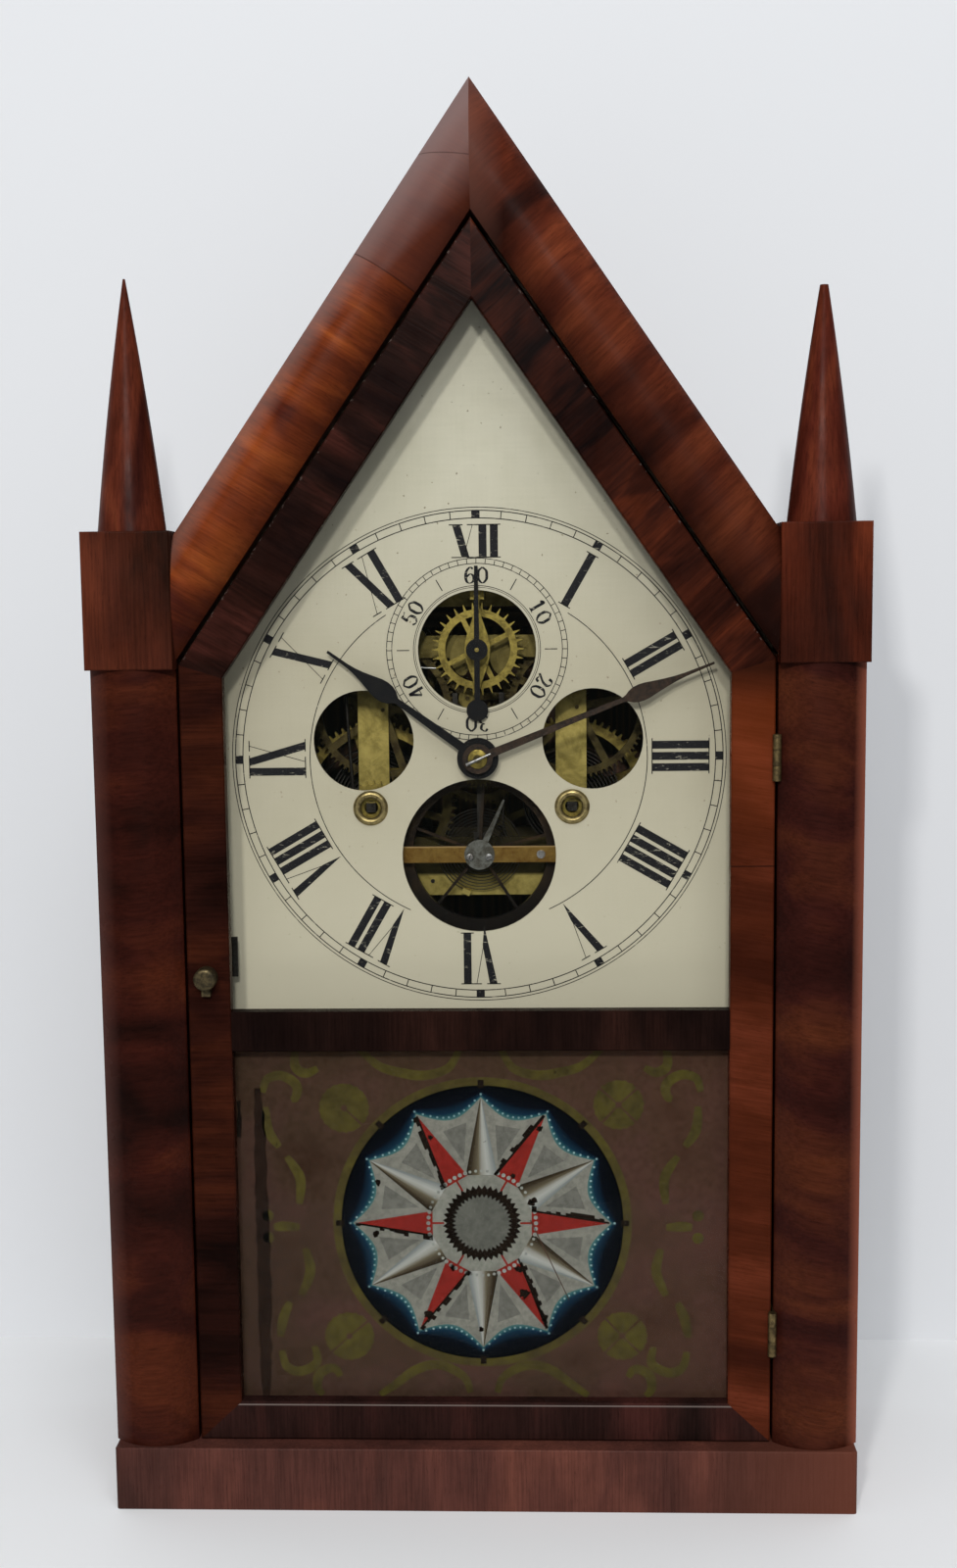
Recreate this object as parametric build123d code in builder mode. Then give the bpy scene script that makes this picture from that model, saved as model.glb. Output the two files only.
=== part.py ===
from build123d import *
import math
import os

# Steeple clock, in millimetres. X runs to the right as one faces the dial,
# Y runs from the front to the back, Z runs up. The origin is on the surface
# that the clock stands on, under the middle of the base. Sizes called depths
# count backwards from the base's front.

# Whole case
clock_height = 622.0
case_depth = 120.0
gable_angle = 55.2
board_thickness = 12.0
side_board_thickness = 10.0
back_board_thickness = 8.0
eave_reach = 20.5

# Base
base_reach = 37.0
base_height = 29.0
base_corner_radius = 1.6
base_edge_radius = 0.8

# Towers at the front corners: a convex column, a square cap block and a spire
tower_inner = 129.5
column_inset = 0.4
column_width = 37.4
column_crest = 1.8
column_edge_depth = 10.2
tower_back = 36.5
cap_width = 38.3
cap_front = 1.0
cap_bottom = 378.5
cap_height = 59.0
cap_edge_radius = 0.7
spire_radius = 14.8
spire_height = 106.9
spire_tip_radius = 0.5
spire_worn_height = 99.0
spire_swell = 0.8
spire_dowel_radius = 5.0
spire_dowel_length = 18.0
dowel_fit = 0.05
dowel_end_gap = 0.5

# Gable moulding
moulding_width = 30.4
moulding_crest = 1.6
moulding_outer_depth = 11.0
moulding_inner_depth = 9.4
moulding_back = 24.0

# Door
door_front = 9.0
door_thickness = 16.0
door_side_gap = 0.9
door_foot_gap = 0.6
door_gable_gap = 1.95
door_frame_width = 18.8
mid_rail_bottom = 209.3
mid_rail_height = 18.0
bottom_rail_height = 17.6
door_edge_bevel = 0.6
glass_depth = 7.0
glass_thickness = 2.0
rabbet_width = 4.5
glass_edge_gap = 0.3

# Door hinges
hinge_length = 20.0
upper_hinge_z = 338.0
lower_hinge_z = 80.7
hinge_stand_off = 2.1
knuckle_radius = 1.9
hinge_pin_radius = 0.8
hinge_fit = 0.05
knuckle_gap = 0.15
hinge_leaf_thickness = 0.8
hinge_leaf_depth = 10.0
leaf_fit = 0.05

# Turn knob and its hook
knob_inset = 9.5
knob_z = 243.1
knob_radius = 5.0
knob_length = 7.5
knob_gap = 0.15
knob_shaft_radius = 2.0
knob_fit = 0.05
knob_edge_radius = 1.5
thumb_piece_width = 3.8
thumb_piece_drop = 3.0
hook_gap = 0.3
hook_thickness = 1.5
hook_width = 6.0
hook_reach = 8.0
hook_tail_reach = 11.3
hook_tail_rise = 15.0
hook_tail_width = 5.0
hook_boss_radius = 4.5

# Dial
dial_depth = 35.0
dial_thickness = 1.5
dial_side_gap = 2.0
dial_bottom = 214.0
dial_peak_drop = 56.0
side_hole_x = 51.1
side_hole_rise = 8.0
side_hole_radius = 22.4
seconds_hole_radius = 26.2
balance_hole_radius = 34.5
hand_hole_radius = 7.0
grommet_radius = 7.85
grommet_bore = 4.5
grommet_wall = 0.7
grommet_rise = 1.5
grommet_tail = 0.8
grommet_fit = 0.05
cleat_inset = 12.5
cleat_bottom = 222.0
cleat_head_drop = 0.4
cleat_thickness = 12.0
dial_screw_side_inset = 7.5
dial_screw_inset = 16.0

# Round-headed wood screws
screw_head_radius = 3.0
screw_head_height = 1.6
screw_radius = 1.5
screw_length = 9.0
screw_fit = 0.05
screw_slot_width = 0.7
screw_slot_depth = 0.7
screw_end_gap = 0.5

# Arbors, seen from the front
centre_arbor_z = 337.0
escape_arbor_rise = 47.9
balance_arbor_drop = 44.2
pallet_arbor_rise = 16.6
third_arbor_x = -5.2
third_arbor_rise = 25.5
time_arbor_x = 41.8
strike_arbor_x = -48.5
winding_arbor_drop = 22.3
intermediate_arbor_x = 44.5
intermediate_arbor_rise = 21.0
pin_arbor_x = -44.0
pin_arbor_rise = 20.5
minute_stud_x = -15.5
minute_stud_rise = 4.0
count_stud_x = -69.4
count_stud_drop = 36.9
hammer_arbor_drop = 58.5
warning_bearing = 90.0
fly_bearing = -13.0

# Tooth counts
great_teeth = 66
great_pinion_teeth = 12
intermediate_teeth = 78
centre_pinion_teeth = 41
centre_teeth = 64
third_pinion_teeth = 8
third_teeth = 60
escape_pinion_teeth = 8
escape_teeth = 30
cannon_teeth = 12
minute_teeth = 36
minute_pinion_teeth = 10
hour_teeth = 40
pin_wheel_teeth = 78
warning_pinion_teeth = 10
warning_teeth = 40
fly_pinion_teeth = 8
count_drive_teeth = 20
count_teeth = 30
ratchet_teeth = 24

# Tooth sizes that no pair of arbors fixes
warning_pinion_module = 0.827
fly_pinion_module = 0.7

# Tooth shape, as shares of the pitch and of the module
wheel_root_share = 0.50
wheel_tip_share = 0.20
leaf_root_share = 0.42
leaf_tip_share = 0.14
addendum_share = 0.80
dedendum_share = 1.15

# Movement plates
front_plate_depth = 56.0
plate_gap = 38.0
plate_thickness = 2.0
strap_width = 14.0
strap_foot = 264.5
strap_head = 416.0
foot_bar_bottom = 272.0
foot_bar_height = 27.0
head_bar_height = 12.0
escape_bar_bottom = 381.0
escape_bar_height = 10.0
leg_foot_z = 306.0
leg_width = 8.0
centre_boss_radius = 8.0
plate_boss_radius = 4.0
escape_lobe_offset = 9.0
escape_lobe_drop = 2.9
escape_lobe_half_width = 4.4
escape_lobe_half_height = 9.4
escape_lobe_lean = 12.0
pillar_inset = 4.0
pillar_foot_rise = 5.5
pillar_head_drop = 4.5
pillar_radius = 3.0
pillar_tenon_radius = 2.0
pillar_tenon_length = 3.2
pillar_fit = 0.05
rail_half_width = 76.0
rail_height = 22.0
rail_foot_lap = 0.5
rail_screw_inset = 12.5
rail_screw_rise = 6.0

# Arbors and wheels
arbor_radius = 1.5
pivot_radius = 0.9
centre_arbor_radius = 2.4
centre_tip_radius = 1.9
winding_arbor_radius = 3.0
sleeve_radius = 5.0
running_fit = 0.05
shoulder_play = 0.3
pivot_nose = 0.6
wheel_thickness = 1.6
great_wheel_thickness = 3.0
wheel_rim_width = 4.2
fine_rim_width = 3.0
spoke_width = 3.4
great_spoke_count = 6
train_spoke_count = 5
light_spoke_count = 4
hub_radius = 5.0
hub_overlap = 1.2
pinion_overlap = 0.9

# Depths of the fronts of the wheels
pin_wheel_depth = 58.8
intermediate_depth = 61.2
centre_wheel_depth = 63.8
strike_great_depth = 66.0
third_wheel_depth = 74.0
warning_wheel_depth = 80.0
time_great_depth = 88.0
pin_disc_depth = 91.0
count_wheel_depth = 52.0
fly_blade_depth = 84.5

# Mainsprings, wound as a ribbon of half turns with a wide last one
spring_hub_radius = 7.0
spring_hub_gap = 0.35
spring_strip = 0.5
spring_pitch = 1.6
spring_half_turns = 20
spring_width = 16.0
spring_end_gap = 0.4
time_spring_depth = 67.0
strike_spring_depth = 72.3

# Winding squares and ratchets
winding_square = 4.2
winding_square_front = 36.8
winding_square_length = 10.0
ratchet_radius = 12.0
ratchet_tooth_height = 1.6
ratchet_thickness = 1.6
ratchet_side_gap = 0.9
click_gap = 0.4
click_width = 3.0
click_stud_radius = 1.6
click_reach = 19.0
click_span = 35.0
ratchet_slope_share = 0.85
time_spokes = 20.0
strike_spokes = 45.0
intermediate_spokes = 10.0
centre_spokes = 18.0

# Escapement
escape_wheel_depth = 46.0
escape_wheel_thickness = 1.5
escape_tip_radius = 20.7
escape_rim_outer = 17.8
escape_rim_inner = 14.6
escape_tooth_width_share = 0.34
escape_tip_width = 0.3
escape_arm_width = 2.2
escape_arm_bearing = 26.0
escape_arm_count = 4
bridge_depth = 41.0
bridge_thickness = 2.2
bridge_head_half = 3.1
bridge_head_drop = 3.5
bridge_neck_half = 1.9
bridge_neck_rise = 14.5
bridge_hub_half = 5.6
bridge_hub_height = 1.8
bridge_waist_half = 3.1
bridge_waist_drop = 11.0
bridge_foot_half = 3.2
bridge_leg_height = 5.5
fine_hub_radius = 3.4
pallet_half_span = 10.5
pallet_top_rise = 11.8
pallet_height = 5.4
pallet_width = 2.2
pallet_thickness = 2.2
anchor_depth = 45.7
anchor_web = 2.2
lever_depth = 50.6
lever_thickness = 1.4
lever_width = 2.4
lever_ring_radius = 7.4
lever_ring_bore = 5.4
fork_drop = 56.8
fork_width = 5.6
fork_slot = 2.6
fork_length = 5.0

# Balance wheel, its cock, regulator and hairspring
balance_radius = 36.0
balance_rim_width = 5.4
balance_depth = 46.5
balance_thickness = 3.4
balance_arm_width = 1.3
balance_arm_thickness = 1.0
balance_arm_count = 5
balance_arm_bearing = 14.7
balance_staff_radius = 1.0
balance_roller_radius = 2.5
collet_radius = 3.4
collet_gap = 0.4
cock_depth = 40.0
cock_thickness = 2.5
cock_height = 7.3
cock_leg_width = 5.0
cap_disc_radius = 6.8
cap_disc_thickness = 1.4
regulator_length = 27.2
regulator_bearing = 65.6
regulator_root_width = 3.0
regulator_tip_width = 0.9
regulator_thickness = 0.7
cock_leg_shift = 1.3
hairspring_strip = 0.3
hairspring_pitch = 1.4
hairspring_half_turns = 23
hairspring_depth = 52.9
hairspring_width = 1.2
hairspring_turn = 65.0
hairspring_stud_width = 2.4
hairspring_stud_height = 4.0
hairspring_stud_lap = 0.4

# Small screws of the bridges
bridge_screw_head_radius = 1.9
bridge_screw_head_height = 0.9
bridge_screw_radius = 0.9
cap_screw_offset = 3.8
cap_screw_head_radius = 1.2
cock_screw_offset = 27.7

# Hands
minute_hand_depth = 27.0
hour_hand_depth = 29.8
seconds_hand_depth = 32.3
hand_thickness = 1.0
seconds_hand_thickness = 0.8
hand_fit = 0.03
hour_hand_length = 81.6
hour_hand_bearing = -54.1
hour_boss_radius = 9.2
minute_hand_length = 112.0
minute_hand_bearing = 68.4
minute_boss_radius = 6.6

# Half widths of the hands at shares of their length
hour_hand_stations = (
    (0.0, 2.1),
    (0.30, 1.75),
    (0.54, 1.25),
    (0.555, 2.2),
    (0.57, 3.2),
    (0.60, 4.2),
    (0.635, 4.5),
    (0.67, 4.2),
    (0.72, 3.1),
    (0.77, 2.0),
    (0.82, 1.2),
    (0.87, 0.8),
    (1.0, 0.6),
)
minute_hand_stations = (
    (0.0, 1.9),
    (0.30, 1.5),
    (0.62, 1.05),
    (0.635, 1.6),
    (0.65, 2.7),
    (0.67, 3.5),
    (0.695, 3.75),
    (0.72, 3.5),
    (0.76, 2.6),
    (0.80, 1.8),
    (0.84, 1.2),
    (0.88, 0.85),
    (1.0, 0.5),
)
seconds_hand_length = 36.8
seconds_tail_length = 26.7
seconds_boss_radius = 4.8
seconds_tail_radius = 4.8
seconds_shaft_width = 2.4
seconds_tip_width = 1.6
seconds_nose = 0.9
hour_pipe_radius = 3.2
hour_pipe_nose = 0.6
hand_nose = 1.4

# Motion work behind the dial
hour_wheel_depth = 38.8
hour_wheel_thickness = 1.4
minute_wheel_depth = 41.4
minute_wheel_thickness = 1.8
minute_pinion_depth = 38.2
motion_overlap = 0.4
minute_collar_radius = 2.3
minute_stud_radius = 1.5

# Strike parts
pin_count = 8
pin_disc_radius = 20.0
pin_circle_radius = 18.1
pin_radius = 1.0
pin_length = 4.6
fly_blade_radius = 9.6
fly_blade_length = 9.0
fly_blade_thickness = 0.8
hammer_depth = 90.0
hammer_hub_radius = 4.2
hammer_wire_radius = 1.2
hammer_head_radius = 6.0
hammer_head_length = 13.0
hammer_strike_gap = 1.4
hammer_tail_depth = 89.0
hammer_tail_thickness = 1.4
hammer_tail_width = 3.0
hammer_tail_bearing = -55.0
hammer_tail_gap = 0.9

# Wire gong, wound in half turns, on its iron stand
gong_x = 24.0
gong_z = 128.0
gong_depth = 92.0
gong_wire_radius = 1.3
gong_first_radius = 9.0
gong_pitch = 7.0
gong_half_turns = 10
gong_post_half_width = 2.6
gong_post_height = 5.0
gong_stand_width = 34.0
gong_stand_height = 46.0
gong_stand_thickness = 6.0

cut_overrun = 1.0
straight_angle = 180.0
right_angle = 90.0

# Places worked out from the sizes above
front_y = -case_depth / 2
slope = math.tan(math.radians(gable_angle))
rise_per_width = 1.0 / math.cos(math.radians(gable_angle))
moulding_peak = clock_height - moulding_width * rise_per_width
door_peak = moulding_peak - door_gable_gap * rise_per_width
opening_peak = door_peak - door_frame_width * rise_per_width
roof_under_peak = clock_height - board_thickness * rise_per_width
eave_half_width = tower_inner + eave_reach
side_inner = eave_half_width - side_board_thickness
knob_x = knob_inset - tower_inner
cleat_inner = tower_inner - cleat_inset
dial_screw_x = tower_inner - dial_screw_side_inset
back_board_depth = case_depth - back_board_thickness
cap_top = cap_bottom + cap_height
cap_middle = tower_inner + cap_width / 2
spire_depth = (cap_front + tower_back) / 2
column_inner = tower_inner + column_inset
column_outer = column_inner + column_width
door_half = tower_inner - door_side_gap
dial_half_width = tower_inner - dial_side_gap
dial_peak = clock_height - dial_peak_drop
base_width = 2 * (tower_inner + base_reach)
door_foot = base_height + door_foot_gap
door_back = door_front + door_thickness
opening_half = door_half - door_frame_width
tablet_foot = door_foot + bottom_rail_height
mid_rail_top = mid_rail_bottom + mid_rail_height
glass_front = door_front + glass_depth
hinge_x = tower_inner - door_side_gap / 2
hinge_depth = door_front - hinge_stand_off
leaf_back = door_front + hinge_leaf_depth
dial_back = dial_depth + dial_thickness
front_plate_back = front_plate_depth + plate_thickness
back_plate_depth = front_plate_back + plate_gap
movement_back = back_plate_depth + plate_thickness

centre_at = (0.0, centre_arbor_z)
escape_at = (0.0, centre_arbor_z + escape_arbor_rise)
balance_at = (0.0, centre_arbor_z - balance_arbor_drop)
pallet_at = (0.0, centre_arbor_z + pallet_arbor_rise)
third_at = (third_arbor_x, centre_arbor_z + third_arbor_rise)
time_at = (time_arbor_x, centre_arbor_z - winding_arbor_drop)
strike_at = (strike_arbor_x, centre_arbor_z - winding_arbor_drop)
intermediate_at = (intermediate_arbor_x, centre_arbor_z + intermediate_arbor_rise)
pin_at = (pin_arbor_x, centre_arbor_z + pin_arbor_rise)
minute_at = (minute_stud_x, centre_arbor_z + minute_stud_rise)
count_at = (count_stud_x, centre_arbor_z - count_stud_drop)

# The hammer hangs so that its head rests just beside the gong's outer turn
gong_left_radius = gong_first_radius + (gong_half_turns - 2) * gong_pitch / 2
gong_left = gong_x - gong_left_radius - gong_wire_radius
hammer_at = (gong_left - hammer_strike_gap - hammer_head_length / 2, centre_arbor_z - hammer_arbor_drop)
hairspring_first_radius = collet_radius + collet_gap + hairspring_strip / 2
hairspring_end_radius = hairspring_first_radius + (hairspring_half_turns - 1) * hairspring_pitch / 2


def distance(a, b):
    return math.hypot(b[0] - a[0], b[1] - a[1])


def bearing(a, b):
    """Angle from a to b in degrees, from +X towards +Z."""
    return math.degrees(math.atan2(b[1] - a[1], b[0] - a[0]))


def towards(a, angle, length):
    turned = math.radians(angle)
    return (a[0] + length * math.cos(turned), a[1] + length * math.sin(turned))


def module_of(a, b, teeth_a, teeth_b):
    """Tooth size that makes two wheels mesh at the distance of their arbors."""
    return 2 * distance(a, b) / (teeth_a + teeth_b)


great_module = module_of(time_at, intermediate_at, great_teeth, great_pinion_teeth)
strike_module = module_of(strike_at, pin_at, great_teeth, great_pinion_teeth)
intermediate_module = module_of(intermediate_at, centre_at, intermediate_teeth, centre_pinion_teeth)
centre_module = module_of(centre_at, third_at, centre_teeth, third_pinion_teeth)
third_module = module_of(third_at, escape_at, third_teeth, escape_pinion_teeth)
count_module = module_of(strike_at, count_at, count_drive_teeth, count_teeth)
cannon_module = module_of(centre_at, minute_at, cannon_teeth, minute_teeth)
hour_module = module_of(centre_at, minute_at, hour_teeth, minute_pinion_teeth)
warning_reach = warning_pinion_module * (pin_wheel_teeth + warning_pinion_teeth) / 2
fly_reach = fly_pinion_module * (warning_teeth + fly_pinion_teeth) / 2
warning_at = towards(pin_at, warning_bearing, warning_reach)
fly_at = towards(warning_at, fly_bearing, fly_reach)


def meshed_phase(a, phase_a, teeth_a, b, teeth_b):
    """Angle of a tooth of wheel b that is in mesh with wheel a."""
    line = bearing(a, b)
    past_tooth = ((line - phase_a) * teeth_a / 360) % 1
    return line + straight_angle - 360 / teeth_b * (0.5 - past_tooth)


first_phase = 0.0
great_pinion_phase = meshed_phase(time_at, first_phase, great_teeth, intermediate_at, great_pinion_teeth)
strike_pinion_phase = meshed_phase(strike_at, first_phase, great_teeth, pin_at, great_pinion_teeth)
centre_pinion_phase = meshed_phase(
    intermediate_at, first_phase, intermediate_teeth, centre_at, centre_pinion_teeth
)
third_pinion_phase = meshed_phase(centre_at, first_phase, centre_teeth, third_at, third_pinion_teeth)
escape_pinion_phase = meshed_phase(third_at, first_phase, third_teeth, escape_at, escape_pinion_teeth)
warning_pinion_phase = meshed_phase(pin_at, first_phase, pin_wheel_teeth, warning_at, warning_pinion_teeth)
fly_pinion_phase = meshed_phase(warning_at, first_phase, warning_teeth, fly_at, fly_pinion_teeth)
count_phase = meshed_phase(strike_at, first_phase, count_drive_teeth, count_at, count_teeth)
minute_phase = meshed_phase(centre_at, first_phase, cannon_teeth, minute_at, minute_teeth)
hour_phase = meshed_phase(minute_at, first_phase, minute_pinion_teeth, centre_at, hour_teeth)

os.makedirs("parts", exist_ok=True)


def save(solid, label):
    solid.label = label
    export_step(solid, "parts/" + label + ".step")


def at_depth(depth):
    """Plane parallel to the front, facing forwards; minus amounts go backwards."""
    return Plane.XZ.offset(-front_y - depth)


def level(z):
    """Horizontal plane whose second direction counts depths."""
    return Plane(origin=(0, front_y, z), x_dir=(1, 0, 0), z_dir=(0, 0, 1))


def line_height(peak, x):
    """Height of a gable line of the given peak at x."""
    return peak - abs(x) * slope


def gable_points(half_width, foot, peak):
    """Corners of a five-sided board with a gable top."""
    shoulder = line_height(peak, half_width)
    return [
        (-half_width, foot), (half_width, foot), (half_width, shoulder), (0, peak),
        (-half_width, shoulder),
    ]


def prism(points, front, back, mode=Mode.ADD):
    """Outline seen from the front, made solid between two depths."""
    with BuildSketch(at_depth(front)) as outline:
        with BuildLine():
            Polyline(*points, close=True)
        make_face()
    extrude(outline.sketch, amount=front - back, mode=mode)


def upright(points, foot, head, mode=Mode.ADD):
    """Outline seen from above, made solid between two heights."""
    with BuildSketch(level(foot)) as outline:
        with BuildLine():
            Polyline(*points, close=True)
        make_face()
    extrude(outline.sketch, amount=head - foot, mode=mode)


def round_bar(place, radius, front, back, mode=Mode.ADD):
    """Round bar along Y between two depths."""
    with BuildSketch(at_depth(front)) as outline:
        with Locations(place):
            Circle(radius)
    extrude(outline.sketch, amount=front - back, mode=mode)


def bore(place, radius, front, back):
    round_bar(place, radius, front - cut_overrun, back + cut_overrun, Mode.SUBTRACT)


def block(middle, width, height, front, back, turned=0.0):
    """Rectangular block between two depths, turned about Y."""
    with BuildSketch(at_depth(front)) as outline:
        with Locations(Location((middle[0], middle[1], 0), (0, 0, turned))):
            Rectangle(width, height)
    extrude(outline.sketch, amount=front - back)


def bar(a, b, width, front, back):
    """Straight bar with square ends from a to b."""
    middle = ((a[0] + b[0]) / 2, (a[1] + b[1]) / 2)
    block(middle, distance(a, b), width, front, back, bearing(a, b))


def tooth_points(place, teeth, module, phase, root_share, tip_share):
    """Outline of a wheel with straight-sided teeth."""
    root_radius = module * (teeth / 2 - dedendum_share)
    tip_radius = module * (teeth / 2 + addendum_share)
    corners = (
        (root_radius, -root_share / 2),
        (tip_radius, -tip_share / 2),
        (tip_radius, tip_share / 2),
        (root_radius, root_share / 2),
    )
    points = []
    for tooth in range(teeth):
        for radius, share in corners:
            points.append(towards(place, phase + 360 / teeth * (tooth + share), radius))
    return points


def pinion(place, leaves, module, phase, wheel_front, thickness, overlap=pinion_overlap):
    """Pinion, longer by the overlap at each end than the wheel it meshes with."""
    points = tooth_points(place, leaves, module, phase, leaf_root_share, leaf_tip_share)
    prism(points, wheel_front - overlap, wheel_front + thickness + overlap)


def wheel(place, teeth, module, phase, front, thickness, rim_width, spokes, spoke_bearing):
    """Toothed rim on spokes round a hub."""
    rim_inner = module * (teeth / 2 - dedendum_share) - rim_width
    spoke_length = rim_inner + rim_width / 2
    with BuildSketch(at_depth(front)) as outline:
        with BuildLine():
            Polyline(
                *tooth_points(place, teeth, module, phase, wheel_root_share, wheel_tip_share),
                close=True,
            )
        make_face()
        with Locations(place):
            Circle(rim_inner, mode=Mode.SUBTRACT)
            Circle(hub_radius)
        for spoke in range(spokes):
            angle = spoke_bearing + spoke * 360 / spokes
            middle = towards(place, angle, spoke_length / 2)
            with Locations(Location((middle[0], middle[1], 0), (0, 0, angle))):
                Rectangle(spoke_length, spoke_width)
    extrude(outline.sketch, amount=-thickness)


def arbor(place):
    """Arbor between the plates, with a thinner pivot in each."""
    round_bar(place, arbor_radius, front_plate_back + shoulder_play, back_plate_depth - shoulder_play)
    round_bar(place, pivot_radius, front_plate_depth - pivot_nose, movement_back)


def ribbon_arcs(half_turns, first_radius, pitch, last_centre, last_radius):
    """Half-turn arcs, each tangent to the next, as centre, radius and start angle."""
    arcs = []
    for turn in range(half_turns):
        arcs.append((pitch / 2 * (turn % 2), first_radius + turn * pitch / 2, straight_angle * (turn % 2)))
    if last_radius > 0:
        arcs.append((last_centre, last_radius, straight_angle * (half_turns % 2)))
    return arcs


def least_gap(arcs, strip):
    """Smallest gap between neighbouring turns of a ribbon, measured at points."""
    steps = 45
    points = []
    for number, (middle, radius, start) in enumerate(arcs):
        for step in range(steps):
            angle = math.radians(start + straight_angle * step / steps)
            along = number + step / steps
            points.append((middle + radius * math.cos(angle), radius * math.sin(angle), along))
    apart = [math.hypot(a[0] - b[0], a[1] - b[1]) for a in points for b in points if abs(a[2] - b[2]) > 1]
    return min(apart) - strip


def ribbon(place, arcs, strip, front, width, turned):
    """Flat spring wound in half turns."""
    plane = Plane(
        origin=(place[0], front_y + front, place[1]),
        x_dir=(math.cos(math.radians(turned)), 0, math.sin(math.radians(turned))),
        z_dir=(0, -1, 0),
    )
    with BuildSketch(plane) as outline:
        with BuildLine():
            for side in (strip / 2, -strip / 2):
                for middle, radius, start in arcs:
                    CenterArc((middle, 0), radius + side, start, straight_angle)
            for middle, radius, start in (
                (arcs[0][0], arcs[0][1], 0.0), (arcs[-1][0], arcs[-1][1], arcs[-1][2] + straight_angle),
            ):
                out = math.cos(math.radians(start))
                Line((middle + out * (radius - strip / 2), 0), (middle + out * (radius + strip / 2), 0))
        make_face()
    extrude(outline.sketch, amount=-width)


# Base: a solid block with eased corners
with BuildPart() as base:
    with BuildSketch(level(0)):
        with Locations((0, case_depth / 2)):
            Rectangle(base_width, case_depth)
    extrude(amount=base_height)
    fillet(base.edges().filter_by(Axis.Z), base_corner_radius)
    fillet(base.faces().sort_by(Axis.Z)[-1].edges(), base_edge_radius)
save(base.part, "base")

# Back board, let in between the side boards and the roof boards
with BuildPart() as back_board:
    prism(gable_points(side_inner, base_height, roof_under_peak), back_board_depth, case_depth)
save(back_board.part, "back_board")

# Side boards, cut to the roof's slope at the top
with BuildPart() as side_boards:
    prism(
        [
            (side_inner, base_height),
            (eave_half_width, base_height),
            (eave_half_width, line_height(roof_under_peak, eave_half_width)),
            (side_inner, line_height(roof_under_peak, side_inner)),
        ],
        tower_back,
        case_depth,
    )
    mirror(about=Plane.YZ)
save(side_boards.part, "side_boards")


def roof_points(reach, side):
    return [
        (0, clock_height),
        (side * reach, line_height(clock_height, reach)),
        (side * reach, line_height(roof_under_peak, reach)),
        (0, roof_under_peak),
    ]


# Roof boards: narrow between the towers, out to the eaves behind them
for side, label in ((-1, "left_roof_board"), (1, "right_roof_board")):
    with BuildPart() as roof_board:
        prism(roof_points(tower_inner, side), moulding_back, tower_back)
        prism(roof_points(eave_half_width, side), tower_back, case_depth)
    save(roof_board.part, label)


def leaf_pockets(inner_x, outer_x):
    """Shallow recesses that take the hinge leaves."""
    for middle in (upper_hinge_z, lower_hinge_z):
        upright(
            [
                (inner_x, hinge_depth - cut_overrun),
                (outer_x, hinge_depth - cut_overrun),
                (outer_x, leaf_back + leaf_fit),
                (inner_x, leaf_back + leaf_fit),
            ],
            middle - hinge_length / 2 - leaf_fit,
            middle + hinge_length / 2 + leaf_fit,
            Mode.SUBTRACT,
        )


# Columns: posts with a convex front; the right one is recessed for the hinge leaves
for side, label in ((-1, "left_column"), (1, "right_column")):
    with BuildPart() as column:
        with BuildSketch(level(base_height)):
            with BuildLine():
                ThreePointArc(
                    (side * column_inner, column_edge_depth),
                    (side * (column_inner + column_width / 2), column_crest),
                    (side * column_outer, column_edge_depth),
                )
                Polyline(
                    (side * column_outer, column_edge_depth),
                    (side * column_outer, tower_back),
                    (side * column_inner, tower_back),
                    (side * column_inner, column_edge_depth),
                )
            make_face()
        extrude(amount=cap_bottom - base_height)
        if side > 0:
            leaf_pockets(hinge_x, tower_inner + hinge_leaf_thickness + leaf_fit)
    save(column.part, label)

# Cap blocks, bored from above for the spires' dowels
for side, label in ((-1, "left_cap_block"), (1, "right_cap_block")):
    with BuildPart() as cap_block:
        with BuildSketch(level(cap_bottom)):
            with Locations((side * cap_middle, spire_depth)):
                Rectangle(cap_width, tower_back - cap_front)
        extrude(amount=cap_height)
        fillet(cap_block.faces().sort_by(Axis.Y)[0].edges(), cap_edge_radius)
        with BuildSketch(level(cap_top)):
            with Locations((side * cap_middle, spire_depth)):
                Circle(spire_dowel_radius + dowel_fit)
        extrude(amount=-spire_dowel_length - dowel_end_gap, mode=Mode.SUBTRACT)
    save(cap_block.part, label)

# Spires: turned cones with a slight swell; the right one has lost its point
for side, height, label in ((-1, spire_height, "left_spire"), (1, spire_worn_height, "right_spire")):
    with BuildPart() as spire:
        middle = (side * cap_middle, front_y + spire_depth)
        half_way = (spire_radius + spire_tip_radius) / 2 + spire_swell
        with BuildSketch(Plane(origin=(middle[0], middle[1], cap_top), x_dir=(1, 0, 0), z_dir=(0, -1, 0))):
            with BuildLine():
                ThreePointArc(
                    (spire_radius, 0), (half_way, spire_height / 2),
                    (spire_tip_radius, spire_height),
                )
                Polyline((spire_tip_radius, spire_height), (0, spire_height), (0, 0), (spire_radius, 0))
            make_face()
        revolve(axis=Axis((middle[0], middle[1], 0), (0, 0, 1)))
        if height < spire_height:
            split(bisect_by=Plane.XY.offset(cap_top + height), keep=Keep.BOTTOM)
        with BuildSketch(level(cap_top)):
            with Locations((middle[0], spire_depth)):
                Circle(spire_dowel_radius)
        extrude(amount=-spire_dowel_length)
    save(spire.part, label)

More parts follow.
